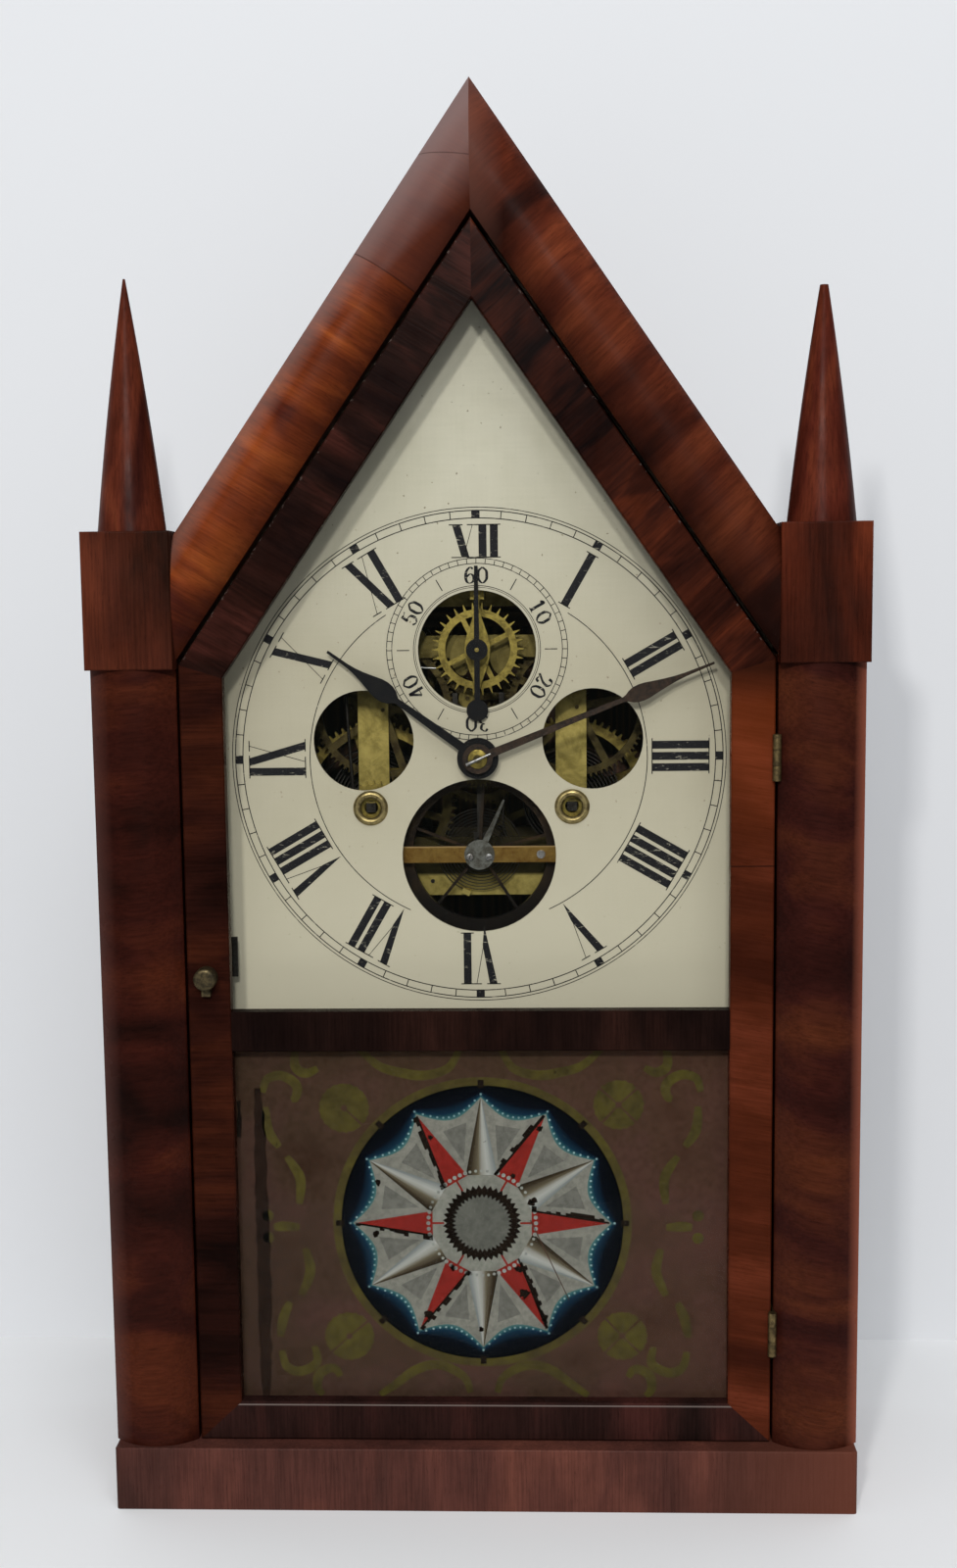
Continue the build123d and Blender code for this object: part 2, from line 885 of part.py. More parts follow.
# Gable moulding: a convex length on each slope, mitred at the peak
for side, label in ((-1, "left_gable_moulding"), (1, "right_gable_moulding")):
    with BuildPart() as gable_moulding:
        across = (-side * math.sin(math.radians(gable_angle)), 0, -math.cos(math.radians(gable_angle)))
        along = (side * math.cos(math.radians(gable_angle)), 0, -math.sin(math.radians(gable_angle)))
        with BuildSketch(Plane(origin=(0, front_y, clock_height), x_dir=across, z_dir=along)) as section:
            with BuildLine():
                ThreePointArc(
                    (0, side * moulding_outer_depth),
                    (moulding_width / 2, side * moulding_crest),
                    (moulding_width, side * moulding_inner_depth),
                )
                Polyline(
                    (moulding_width, side * moulding_inner_depth),
                    (moulding_width, side * moulding_back),
                    (0, side * moulding_back),
                    (0, side * moulding_outer_depth),
                )
            make_face()
        extrude(amount=clock_height / 2, both=True)
        keep_box = Plane(origin=(side * tower_inner / 2, 0, clock_height / 2))
        with Locations(keep_box.location):
            Box(tower_inner, 2 * case_depth, 2 * clock_height, mode=Mode.INTERSECT)
    save(gable_moulding.part, label)

# Door frame, mitred at its corners and rabbeted behind for the two glasses
stile_outer_top = line_height(door_peak, door_half)
stile_inner_top = line_height(opening_peak, opening_half)
cleat_top = stile_inner_top - cleat_head_drop
upper_pocket = gable_points(
    opening_half + rabbet_width,
    mid_rail_top - rabbet_width,
    opening_peak + rabbet_width * rise_per_width,
)
pocket_half = opening_half + rabbet_width
lower_pocket = [
    (-pocket_half, tablet_foot - rabbet_width),
    (pocket_half, tablet_foot - rabbet_width),
    (pocket_half, mid_rail_bottom + rabbet_width),
    (-pocket_half, mid_rail_bottom + rabbet_width),
]
left_stile_points = [
    (-door_half, door_foot),
    (-door_half, stile_outer_top),
    (-opening_half, stile_inner_top),
    (-opening_half, tablet_foot),
]
left_gable_rail_points = [
    (-door_half, stile_outer_top),
    (0, door_peak),
    (0, opening_peak),
    (-opening_half, stile_inner_top),
]
frame_members = {
    "door_left_stile": left_stile_points,
    "door_right_stile": [(-x, z) for x, z in left_stile_points],
    "door_left_gable_rail": left_gable_rail_points,
    "door_right_gable_rail": [(-x, z) for x, z in left_gable_rail_points],
    "door_mid_rail": [
        (-opening_half, mid_rail_bottom),
        (opening_half, mid_rail_bottom),
        (opening_half, mid_rail_top),
        (-opening_half, mid_rail_top),
    ],
    "door_bottom_rail": [
        (-door_half, door_foot),
        (door_half, door_foot),
        (opening_half, tablet_foot),
        (-opening_half, tablet_foot),
    ],
}
for label, points in frame_members.items():
    with BuildPart() as member:
        prism(points, door_front, door_back)
        long_edges = member.faces().sort_by(Axis.Y)[0].edges().sort_by(SortBy.LENGTH)[-2:]
        chamfer(long_edges, door_edge_bevel)
        for pocket in (upper_pocket, lower_pocket):
            prism(pocket, glass_front, door_back + cut_overrun, Mode.SUBTRACT)
        if label == "door_left_stile":
            bore((knob_x, knob_z), knob_shaft_radius + knob_fit, door_front, door_back)
        if label == "door_right_stile":
            leaf_pockets(door_half - hinge_leaf_thickness - leaf_fit, hinge_x)
    save(member.part, label)

# Glasses: the clear upper one and the painted tablet below
glass_half = pocket_half - glass_edge_gap
with BuildPart() as dial_glass:
    glass_peak = opening_peak + (rabbet_width - glass_edge_gap) * rise_per_width
    glass_foot = mid_rail_top - rabbet_width + glass_edge_gap
    prism(gable_points(glass_half, glass_foot, glass_peak), glass_front, glass_front + glass_thickness)
save(dial_glass.part, "dial_glass")
with BuildPart() as tablet_glass:
    tablet_low = tablet_foot - rabbet_width + glass_edge_gap
    tablet_high = mid_rail_bottom + rabbet_width - glass_edge_gap
    tablet_points = [
        (-glass_half, tablet_low),
        (glass_half, tablet_low),
        (glass_half, tablet_high),
        (-glass_half, tablet_high),
    ]
    prism(tablet_points, glass_front, glass_front + glass_thickness)
save(tablet_glass.part, "tablet_glass")


def hinge_rod(radius, foot, head, mode=Mode.ADD):
    """Round bar on the hinge line between two heights."""
    with BuildSketch(level(foot)) as outline:
        with Locations((hinge_x, hinge_depth)):
            Circle(radius)
    extrude(outline.sketch, amount=head - foot, mode=mode)


def hinge_leaf(inner_x, outer_x, foot):
    upright(
        [(inner_x, hinge_depth), (outer_x, hinge_depth), (outer_x, leaf_back), (inner_x, leaf_back)],
        foot,
        foot + hinge_length,
    )


# Hinges: the case leaf has the end knuckles, the door leaf the middle one and the pin
knuckle_length = hinge_length / 3
with BuildPart() as case_hinge_leaves:
    for middle in (upper_hinge_z, lower_hinge_z):
        foot = middle - hinge_length / 2
        hinge_leaf(tower_inner, tower_inner + hinge_leaf_thickness, foot)
        hinge_rod(knuckle_radius, foot, foot + hinge_length)
        gap_foot = foot + knuckle_length - knuckle_gap
        gap_head = foot + 2 * knuckle_length + knuckle_gap
        hinge_rod(knuckle_radius + knuckle_gap, gap_foot, gap_head, Mode.SUBTRACT)
        hinge_rod(hinge_pin_radius + hinge_fit, foot, foot + hinge_length, Mode.SUBTRACT)
with BuildPart() as door_hinge_leaves:
    for middle in (upper_hinge_z, lower_hinge_z):
        foot = middle - hinge_length / 2
        hinge_leaf(door_half - hinge_leaf_thickness, door_half, foot)
        hinge_rod(knuckle_radius + knuckle_gap, foot, foot + knuckle_length, Mode.SUBTRACT)
        hinge_rod(
            knuckle_radius + knuckle_gap, foot + 2 * knuckle_length, foot + hinge_length,
            Mode.SUBTRACT,
        )
        hinge_rod(knuckle_radius, foot + knuckle_length, foot + 2 * knuckle_length)
        hinge_rod(hinge_pin_radius, foot, foot + hinge_length)
save(case_hinge_leaves.part, "case_hinge_leaves")
save(door_hinge_leaves.part, "door_hinge_leaves")

# Turn knob on its shaft, and the hook on the shaft's end behind the door
hook_front = door_back + hook_gap
hook_back = hook_front + hook_thickness
knob_back = door_front - knob_gap
knob_front = knob_back - knob_length
with BuildPart() as latch_knob:
    round_bar((knob_x, knob_z), knob_radius, knob_front, knob_back)
    fillet(latch_knob.faces().sort_by(Axis.Y)[0].edges(), knob_edge_radius)
    round_bar((knob_x, knob_z), knob_shaft_radius, knob_back, hook_back)
    thumb_foot = knob_z - knob_radius - thumb_piece_drop
    thumb_middle = knob_front + knob_length / 2
    block(
        (knob_x, (knob_z + thumb_foot) / 2), thumb_piece_width, knob_z - thumb_foot, thumb_middle,
        knob_back,
    )
save(latch_knob.part, "latch_knob")
with BuildPart() as latch_hook:
    round_bar((knob_x, knob_z), hook_boss_radius, hook_front, hook_back)
    block((knob_x - hook_reach / 2, knob_z), hook_reach, hook_width, hook_front, hook_back)
    tail_corner = (knob_x + hook_tail_reach - hook_tail_width / 2, knob_z)
    bar((knob_x, knob_z), tail_corner, hook_width, hook_front, hook_back)
    tail_end = (tail_corner[0], knob_z + hook_tail_rise)
    bar((tail_corner[0], knob_z - hook_width / 2), tail_end, hook_tail_width, hook_front, hook_back)
    bore((knob_x, knob_z), knob_shaft_radius + hand_fit, hook_front, hook_back)
save(latch_hook.part, "latch_hook")

# Dial panel with its holes, on two cleats glued to the sides
winding_places = (time_at, strike_at)
screw_rows = (dial_bottom + dial_screw_inset, stile_inner_top - dial_screw_inset)
dial_screws = [(side * dial_screw_x, z) for side in (-1, 1) for z in screw_rows]
with BuildPart() as dial_panel:
    prism(gable_points(dial_half_width, dial_bottom, dial_peak), dial_depth, dial_back)
    bore(escape_at, seconds_hole_radius, dial_depth, dial_back)
    bore(balance_at, balance_hole_radius, dial_depth, dial_back)
    bore(centre_at, hand_hole_radius, dial_depth, dial_back)
    for side in (-1, 1):
        bore((side * side_hole_x, centre_arbor_z + side_hole_rise), side_hole_radius, dial_depth, dial_back)
    for place in winding_places:
        bore(place, grommet_bore + grommet_wall + grommet_fit, dial_depth, dial_back)
    for place in dial_screws:
        bore(place, screw_radius + screw_fit, dial_depth, dial_back)
save(dial_panel.part, "dial_panel")
with BuildPart() as dial_cleats:
    for side in (-1, 1):
        middle = (side * (cleat_inner + side_inner) / 2, (cleat_bottom + cleat_top) / 2)
        block(
            middle, side_inner - cleat_inner, cleat_top - cleat_bottom, dial_back,
            dial_back + cleat_thickness,
        )
    for place in dial_screws:
        with BuildSketch(at_depth(dial_back)):
            with Locations(place):
                Circle(screw_radius + screw_fit)
        extrude(amount=-screw_length, mode=Mode.SUBTRACT)
save(dial_cleats.part, "dial_cleats")
with BuildPart() as winding_grommets:
    for place in winding_places:
        with BuildSketch(Plane(origin=(place[0], front_y, place[1]), x_dir=(1, 0, 0), z_dir=(0, 0, 1))):
            with BuildLine():
                crest = dial_depth - grommet_rise
                pipe = grommet_bore + grommet_wall
                ThreePointArc(
                    (grommet_bore, dial_depth), ((grommet_bore + grommet_radius) / 2, crest), (
                        grommet_radius, dial_depth,
                    )
                )
                Polyline(
                    (grommet_radius, dial_depth),
                    (pipe, dial_depth),
                    (pipe, dial_back + grommet_tail),
                    (grommet_bore, dial_back + grommet_tail),
                    (grommet_bore, dial_depth),
                )
            make_face()
        revolve(axis=Axis((place[0], 0, place[1]), (0, 1, 0)))
save(winding_grommets.part, "winding_grommets")


def plate_arms(front, back):
    """What both plates have: two straps, the bars across and the arms to the inner arbors."""
    strap_height = strap_head - strap_foot
    for place_x in (strike_arbor_x, time_arbor_x):
        block((place_x, (strap_foot + strap_head) / 2), strap_width, strap_height, front, back)
    middle_x = (strike_arbor_x + time_arbor_x) / 2
    span = time_arbor_x - strike_arbor_x
    for foot, height in (
        (foot_bar_bottom, foot_bar_height),
        (strap_head - head_bar_height, head_bar_height),
        (escape_bar_bottom, escape_bar_height),
    ):
        block((middle_x, foot + height / 2), span, height, front, back)
    for place_x in (strike_arbor_x, time_arbor_x):
        bar(centre_at, (place_x, leg_foot_z), leg_width, front, back)
    bar(centre_at, pallet_at, leg_width, front, back)
    bar(pallet_at, third_at, leg_width, front, back)
    round_bar(centre_at, centre_boss_radius, front, back)
    for place in (pallet_at, third_at, fly_at, escape_at):
        round_bar(place, plate_boss_radius, front, back)


# Plates: the front one with lobes behind the escape wheel and an ear for the count wheel
pillar_places = [
    (place_x, z)
    for place_x in (strike_arbor_x - pillar_inset, time_arbor_x + pillar_inset)
    for z in (strap_foot + pillar_foot_rise, strap_head - pillar_head_drop)
]
train_places = (third_at, intermediate_at, pin_at, warning_at, fly_at, hammer_at)
rail_screws = [
    (place_x, z)
    for place_x in (strike_arbor_x + rail_screw_inset, time_arbor_x - rail_screw_inset)
    for z in (foot_bar_bottom + rail_screw_rise, strap_head - rail_screw_rise)
]
with BuildPart() as front_plate:
    plate_arms(front_plate_depth, front_plate_back)
    for side in (-1, 1):
        lobe = Location(
            (side * escape_lobe_offset, escape_at[1] - escape_lobe_drop, 0),
            (0, 0, escape_lobe_lean),
        )
        with BuildSketch(at_depth(front_plate_depth)):
            with Locations(lobe):
                Ellipse(escape_lobe_half_width, escape_lobe_half_height)
        extrude(amount=-plate_thickness)
    bar(strike_at, count_at, leg_width, front_plate_depth, front_plate_back)
    round_bar(count_at, plate_boss_radius, front_plate_depth, front_plate_back)
    stud_tip = count_wheel_depth - pivot_nose
    round_bar(count_at, minute_stud_radius, stud_tip, front_plate_depth)
    round_bar(minute_at, plate_boss_radius, front_plate_depth, front_plate_back)
    bar(centre_at, minute_at, leg_width, front_plate_depth, front_plate_back)
    round_bar(minute_at, minute_stud_radius, minute_pinion_depth - pivot_nose, front_plate_depth)
    stud_bearing = hairspring_turn + straight_angle
    stud_place = towards(balance_at, stud_bearing, hairspring_end_radius)
    stud_place = towards(stud_place, stud_bearing, hairspring_stud_width / 2 - hairspring_stud_lap)
    stud_place = towards(stud_place, hairspring_turn - right_angle, hairspring_stud_height / 2)
    block(
        stud_place,
        hairspring_stud_width,
        hairspring_stud_height,
        hairspring_depth,
        front_plate_depth,
        hairspring_turn,
    )
    for place in (*train_places, pallet_at):
        bore(place, pivot_radius + running_fit, front_plate_depth, front_plate_back)
    bore(balance_at, balance_staff_radius + running_fit, front_plate_depth, front_plate_back)
    bore(escape_at, arbor_radius + running_fit, front_plate_depth, front_plate_back)
    bore(centre_at, centre_arbor_radius + running_fit, front_plate_depth, front_plate_back)
    bore(time_at, winding_arbor_radius + running_fit, front_plate_depth, front_plate_back)
    bore(strike_at, sleeve_radius + running_fit, front_plate_depth, front_plate_back)
    for place in pillar_places:
        bore(place, pillar_tenon_radius + pillar_fit, front_plate_depth, front_plate_back)
save(front_plate.part, "front_plate")
with BuildPart() as back_plate:
    plate_arms(back_plate_depth, movement_back)
    for place in pillar_places:
        round_bar(place, pillar_radius, front_plate_back, back_plate_depth)
        round_bar(place, pillar_tenon_radius, front_plate_back - pillar_tenon_length, front_plate_back)
    for place in (*train_places, escape_at):
        bore(place, pivot_radius + running_fit, back_plate_depth, movement_back)
    bore(centre_at, centre_arbor_radius + running_fit, back_plate_depth, movement_back)
    for place in winding_places:
        bore(place, winding_arbor_radius + running_fit, back_plate_depth, movement_back)
    for place in rail_screws:
        bore(place, screw_radius + screw_fit, back_plate_depth, movement_back)
save(back_plate.part, "back_plate")

# Battens on the back board that carry the movement
with BuildPart() as movement_rails:
    for z in (
        foot_bar_bottom + rail_height / 2 - rail_foot_lap,
        strap_head - rail_height / 2 + rail_foot_lap,
    ):
        middle = ((strike_arbor_x + time_arbor_x) / 2, z)
        block(middle, 2 * rail_half_width, rail_height, movement_back, back_board_depth)
    for place in rail_screws:
        with BuildSketch(at_depth(movement_back)):
            with Locations(place):
                Circle(screw_radius + screw_fit)
        extrude(amount=-screw_length, mode=Mode.SUBTRACT)
    for place in (*winding_places, centre_at, *train_places, escape_at):
        round_bar(
            place, winding_arbor_radius + shoulder_play, movement_back, movement_back + cut_overrun,
            Mode.SUBTRACT,
        )
save(movement_rails.part, "movement_rails")

# Round-headed wood screws of the dial and of the movement
with BuildPart() as wood_screws:
    for places, face, through in (
        (dial_screws, dial_depth, dial_thickness), (rail_screws, back_plate_depth, plate_thickness),
    ):
        for place in places:
            shank = screw_length + through - screw_end_gap
            round_bar(place, screw_head_radius, face - screw_head_height, face)
            round_bar(place, screw_radius, face, face + shank)
            with BuildSketch(at_depth(face - screw_head_height)):
                with Locations(place):
                    Rectangle(2 * screw_head_radius + cut_overrun, screw_slot_width)
            extrude(amount=-screw_slot_depth, mode=Mode.SUBTRACT)
save(wood_screws.part, "wood_screws")

# Mainsprings: their outermost half turns reach out to the lower pillars
first_spring_radius = spring_hub_radius + spring_hub_gap + spring_strip / 2
last_spring_radius = first_spring_radius + (spring_half_turns - 1) * spring_pitch / 2
spring_edge = spring_pitch / 2 + last_spring_radius
with BuildPart() as mainsprings:
    for place, front, pillar in (
        (time_at, time_spring_depth, pillar_places[2]),
        (strike_at, strike_spring_depth, pillar_places[0]),
    ):
        reach = distance(place, pillar) - pillar_radius - spring_end_gap - spring_strip / 2
        wide_radius = (spring_edge + reach) / 2
        spring_arcs = ribbon_arcs(
            spring_half_turns, first_spring_radius, spring_pitch, spring_edge - wide_radius,
            wide_radius,
        )
        outer_end = bearing(place, pillar) + straight_angle
        ribbon(place, spring_arcs, spring_strip, front, spring_width, outer_end)
print("mainsprings least gap", round(least_gap(spring_arcs, spring_strip), 3))
save(mainsprings.part, "mainsprings")

# Winding arbors: front square, body in the plates, hub of the mainspring and ratchet
time_ratchet_depth = time_great_depth - ratchet_side_gap - ratchet_thickness
strike_ratchet_depth = strike_great_depth + great_wheel_thickness + ratchet_side_gap
for place, label, front, ratchet_front in (
    (time_at, "time_winding_arbor", time_spring_depth, time_ratchet_depth),
    (strike_at, "strike_winding_arbor", strike_spring_depth, strike_ratchet_depth),
):
    with BuildPart() as winding_arbor:
        square_end = winding_square_front + winding_square_length
        block(place, winding_square, winding_square, winding_square_front, square_end)
        round_bar(place, winding_arbor_radius, square_end, movement_back)
        round_bar(place, spring_hub_radius, front, front + spring_width)
        points = []
        for tooth in range(ratchet_teeth):
            for share, radius in (
                (0.0, ratchet_radius), (ratchet_slope_share, ratchet_radius - ratchet_tooth_height),
            ):
                points.append(towards(place, 360 / ratchet_teeth * (tooth + share), radius))
        prism(points, ratchet_front, ratchet_front + ratchet_thickness)
    save(winding_arbor.part, label)


def click(place, front, wheel_face, angle):
    """Click beside the ratchet, on a stud of the great wheel's spoke."""
    heel = towards(place, angle, click_reach)
    tip = towards(place, angle + click_span, ratchet_radius + click_gap + click_width / 2)
    bar(tip, heel, click_width, front, front + ratchet_thickness)
    round_bar(heel, click_stud_radius, min(front, wheel_face), max(front + ratchet_thickness, wheel_face))


# Great wheels, loose on the winding arbors, each with its click
with BuildPart() as time_great_wheel:
    wheel(
        time_at, great_teeth, great_module, first_phase, time_great_depth, great_wheel_thickness,
        wheel_rim_width, great_spoke_count, time_spokes,
    )
    click(time_at, time_ratchet_depth, time_great_depth, time_spokes)
    round_bar(time_at, hub_radius, time_great_depth, time_great_depth + great_wheel_thickness + hub_overlap)
    bore(
        time_at, winding_arbor_radius + running_fit, time_great_depth,
        time_great_depth + great_wheel_thickness + hub_overlap,
    )
save(time_great_wheel.part, "time_great_wheel")
with BuildPart() as strike_great_wheel:
    strike_back = strike_great_depth + great_wheel_thickness
    wheel(
        strike_at, great_teeth, strike_module, first_phase, strike_great_depth,
        great_wheel_thickness, wheel_rim_width, great_spoke_count, strike_spokes,
    )
    click(strike_at, strike_ratchet_depth, strike_back, strike_spokes)
    round_bar(strike_at, sleeve_radius, count_wheel_depth, strike_great_depth)
    pinion(strike_at, count_drive_teeth, count_module, first_phase, count_wheel_depth, plate_thickness, 0)
    bore(strike_at, winding_arbor_radius + running_fit, count_wheel_depth, strike_back)
save(strike_great_wheel.part, "strike_great_wheel")

# Time train
with BuildPart() as intermediate_wheel:
    wheel(
        intermediate_at, intermediate_teeth, intermediate_module, first_phase, intermediate_depth,
        wheel_thickness, fine_rim_width, train_spoke_count, intermediate_spokes,
    )
    pinion(
        intermediate_at, great_pinion_teeth, great_module, great_pinion_phase, time_great_depth,
        great_wheel_thickness,
    )
    arbor(intermediate_at)
save(intermediate_wheel.part, "intermediate_wheel")
with BuildPart() as centre_wheel:
    wheel(
        centre_at, centre_teeth, centre_module, first_phase, centre_wheel_depth, wheel_thickness,
        fine_rim_width, train_spoke_count, centre_spokes,
    )
    pinion(
        centre_at, centre_pinion_teeth, intermediate_module, centre_pinion_phase,
        intermediate_depth, wheel_thickness, shoulder_play,
    )
    pinion(centre_at, cannon_teeth, cannon_module, first_phase, minute_wheel_depth, minute_wheel_thickness)
    round_bar(centre_at, centre_arbor_radius, minute_hand_depth + hand_thickness, movement_back)
    round_bar(
        centre_at, centre_tip_radius, minute_hand_depth - hand_nose,
        minute_hand_depth + hand_thickness,
    )
save(centre_wheel.part, "centre_wheel")
with BuildPart() as third_wheel:
    wheel(
        third_at, third_teeth, third_module, first_phase, third_wheel_depth, wheel_thickness,
        fine_rim_width, train_spoke_count, first_phase,
    )
    pinion(
        third_at, third_pinion_teeth, centre_module, third_pinion_phase, centre_wheel_depth,
        wheel_thickness,
    )
    arbor(third_at)
save(third_wheel.part, "third_wheel")

# Escape wheel with its pointed teeth; its arbor runs forwards to the seconds hand
with BuildPart() as escape_wheel:
    points = []
    for tooth in range(escape_teeth):
        turn = 360 / escape_teeth
        point_share = math.degrees(escape_tip_width / escape_tip_radius) / turn
        for share, radius in (
            (-escape_tooth_width_share / 2, escape_rim_outer),
            (-point_share / 2, escape_tip_radius),
            (point_share / 2, escape_tip_radius),
            (escape_tooth_width_share / 2, escape_rim_outer),
        ):
            points.append(towards(escape_at, turn * (tooth + share), radius))
    escape_back = escape_wheel_depth + escape_wheel_thickness
    prism(points, escape_wheel_depth, escape_back)
    bore(escape_at, escape_rim_inner, escape_wheel_depth, escape_back)
    for arm in range(escape_arm_count):
        angle = escape_arm_bearing + arm * 360 / escape_arm_count
        arm_end = towards(escape_at, angle, escape_rim_inner + escape_arm_width / 2)
        bar(escape_at, arm_end, escape_arm_width, escape_wheel_depth, escape_back)
    round_bar(escape_at, fine_hub_radius, escape_wheel_depth - hub_overlap, escape_back + hub_overlap)
    round_bar(
        escape_at, arbor_radius, bridge_depth + bridge_thickness + shoulder_play,
        back_plate_depth - shoulder_play,
    )
    round_bar(escape_at, pivot_radius, seconds_hand_depth - seconds_nose, movement_back)
    pinion(
        escape_at, escape_pinion_teeth, third_module, escape_pinion_phase, third_wheel_depth,
        wheel_thickness,
    )
save(escape_wheel.part, "escape_wheel")

# Bridge in front of the escape wheel, a vase outline standing on one foot
bridge_back = bridge_depth + bridge_thickness
vase = [
    (bridge_head_half, strap_head - bridge_head_drop),
    (bridge_neck_half, escape_at[1] + bridge_neck_rise),
    (bridge_hub_half, escape_at[1] + bridge_hub_height),
    (bridge_hub_half, escape_at[1] - bridge_hub_height),
    (bridge_waist_half, escape_at[1] - bridge_waist_drop),
    (bridge_foot_half, pallet_at[1]),
]
with BuildPart() as escape_bridge:
    with BuildSketch(at_depth(bridge_depth)):
        with BuildLine():
            Spline(*vase)
            Line(vase[-1], (-bridge_foot_half, pallet_at[1]))
            Spline(*[(-x, z) for x, z in reversed(vase)])
            Line((-bridge_head_half, vase[0][1]), vase[0])
        make_face()
        with Locations(pallet_at):
            Circle(plate_boss_radius)
    extrude(amount=-bridge_thickness)
    foot_middle = (0, vase[0][1] - bridge_leg_height / 2)
    block(foot_middle, 2 * bridge_head_half, bridge_leg_height, bridge_back, front_plate_depth)
    for place in (escape_at, pallet_at):
        bore(place, pivot_radius + running_fit, bridge_depth, bridge_back)
save(escape_bridge.part, "escape_bridge")

# Pallets and the lever that reaches round the centre arbor to the balance
with BuildPart() as pallet_lever:
    round_bar(pallet_at, hub_radius - hub_overlap, anchor_depth, lever_depth + lever_thickness)
    anchor_back = anchor_depth + pallet_thickness
    for side in (-1, 1):
        foot = (side * pallet_half_span, pallet_at[1] + pallet_top_rise - pallet_height)
        bar(pallet_at, foot, anchor_web, anchor_depth, anchor_back)
        middle = (foot[0], foot[1] + pallet_height / 2)
        block(middle, pallet_width, pallet_height, anchor_depth, anchor_back)
        round_bar(foot, pallet_width / 2, anchor_depth, anchor_back)
    lever_back = lever_depth + lever_thickness
    fork_end = (0, pallet_at[1] - fork_drop)
    bar(pallet_at, fork_end, lever_width, lever_depth, lever_back)
    block((0, fork_end[1] + fork_length / 2), fork_width, fork_length, lever_depth, lever_back)
    round_bar(centre_at, lever_ring_radius, lever_depth, lever_back)
    bore(centre_at, lever_ring_bore, lever_depth, lever_back)
    with BuildSketch(at_depth(lever_depth)):
        with Locations(fork_end):
            Rectangle(fork_slot, fork_length)
    extrude(amount=-lever_thickness, mode=Mode.SUBTRACT)
    round_bar(pallet_at, arbor_radius, bridge_back + shoulder_play, front_plate_depth - shoulder_play)
    round_bar(pallet_at, pivot_radius, bridge_depth, front_plate_back)
save(pallet_lever.part, "pallet_lever")

# Balance wheel: a rim on thin steel arms, on a staff with its roller and collet
with BuildPart() as balance_wheel:
    balance_back = balance_depth + balance_thickness
    round_bar(balance_at, balance_radius, balance_depth, balance_back)
    bore(balance_at, balance_radius - balance_rim_width, balance_depth, balance_back)
    arm_front = balance_depth + (balance_thickness - balance_arm_thickness) / 2
    for arm in range(balance_arm_count):
        angle = balance_arm_bearing + arm * 360 / balance_arm_count
        arm_end = towards(balance_at, angle, balance_radius - balance_rim_width / 2)
        bar(balance_at, arm_end, balance_arm_width, arm_front, arm_front + balance_arm_thickness)
    round_bar(
        balance_at, balance_roller_radius, balance_depth - hub_overlap,
        hairspring_depth + hairspring_width,
    )
    round_bar(balance_at, collet_radius, hairspring_depth, hairspring_depth + hairspring_width)
    round_bar(balance_at, balance_staff_radius, cock_depth, front_plate_back)
save(balance_wheel.part, "balance_wheel")

# Hairspring, pinned to a block on the front plate
hairspring_arcs = ribbon_arcs(hairspring_half_turns, hairspring_first_radius, hairspring_pitch, 0, 0)
with BuildPart() as hairspring:
    ribbon(
        balance_at, hairspring_arcs, hairspring_strip, hairspring_depth, hairspring_width,
        hairspring_turn,
    )
print("hairspring least gap", round(least_gap(hairspring_arcs, hairspring_strip), 3))
save(hairspring.part, "hairspring")

# Balance cock across the wheel, its cap and the regulator's pointer
cock_back = cock_depth + cock_thickness
cock_legs = (strike_arbor_x, time_arbor_x + cock_leg_shift)
cock_screws = [(place_x, balance_at[1]) for place_x in (*cock_legs, cock_screw_offset)]
with BuildPart() as balance_cock:
    cock_ends = (cock_legs[0] - cock_leg_width / 2, cock_legs[1] + cock_leg_width / 2)
    cock_middle = ((cock_ends[0] + cock_ends[1]) / 2, balance_at[1])
    block(cock_middle, cock_ends[1] - cock_ends[0], cock_height, cock_depth, cock_back)
    for place_x in cock_legs:
        block((place_x, balance_at[1]), cock_leg_width, cock_height, cock_back, front_plate_depth)
    bore(balance_at, balance_staff_radius + running_fit, cock_depth, cock_back)
    for place in cock_screws:
        with BuildSketch(at_depth(cock_depth)):
            with Locations(place):
                Circle(bridge_screw_radius + screw_fit)
        extrude(amount=-cock_thickness, mode=Mode.SUBTRACT)
save(balance_cock.part, "balance_cock")
cap_front_depth = cock_depth - cap_disc_thickness
with BuildPart() as regulator:
    round_bar(balance_at, cap_disc_radius, cap_front_depth, cock_depth)
    root = towards(balance_at, regulator_bearing, cap_disc_radius / 2)
    tip = towards(balance_at, regulator_bearing, regulator_length)
    needle = [
        towards(root, regulator_bearing + right_angle, regulator_root_width / 2),
        towards(root, regulator_bearing - right_angle, regulator_root_width / 2),
        towards(tip, regulator_bearing - right_angle, regulator_tip_width / 2),
        towards(tip, regulator_bearing + right_angle, regulator_tip_width / 2),
    ]
    prism(needle, cock_depth - regulator_thickness, cock_depth)
    for side in (-1, 1):
        place = (side * cap_screw_offset, balance_at[1])
        round_bar(place, cap_screw_head_radius, cap_front_depth - bridge_screw_head_height, cap_front_depth)
save(regulator.part, "regulator")
with BuildPart() as bridge_screws:
    for place in cock_screws:
        round_bar(place, bridge_screw_head_radius, cock_depth - bridge_screw_head_height, cock_depth)
        round_bar(place, bridge_screw_radius, cock_depth, cock_back)
save(bridge_screws.part, "bridge_screws")

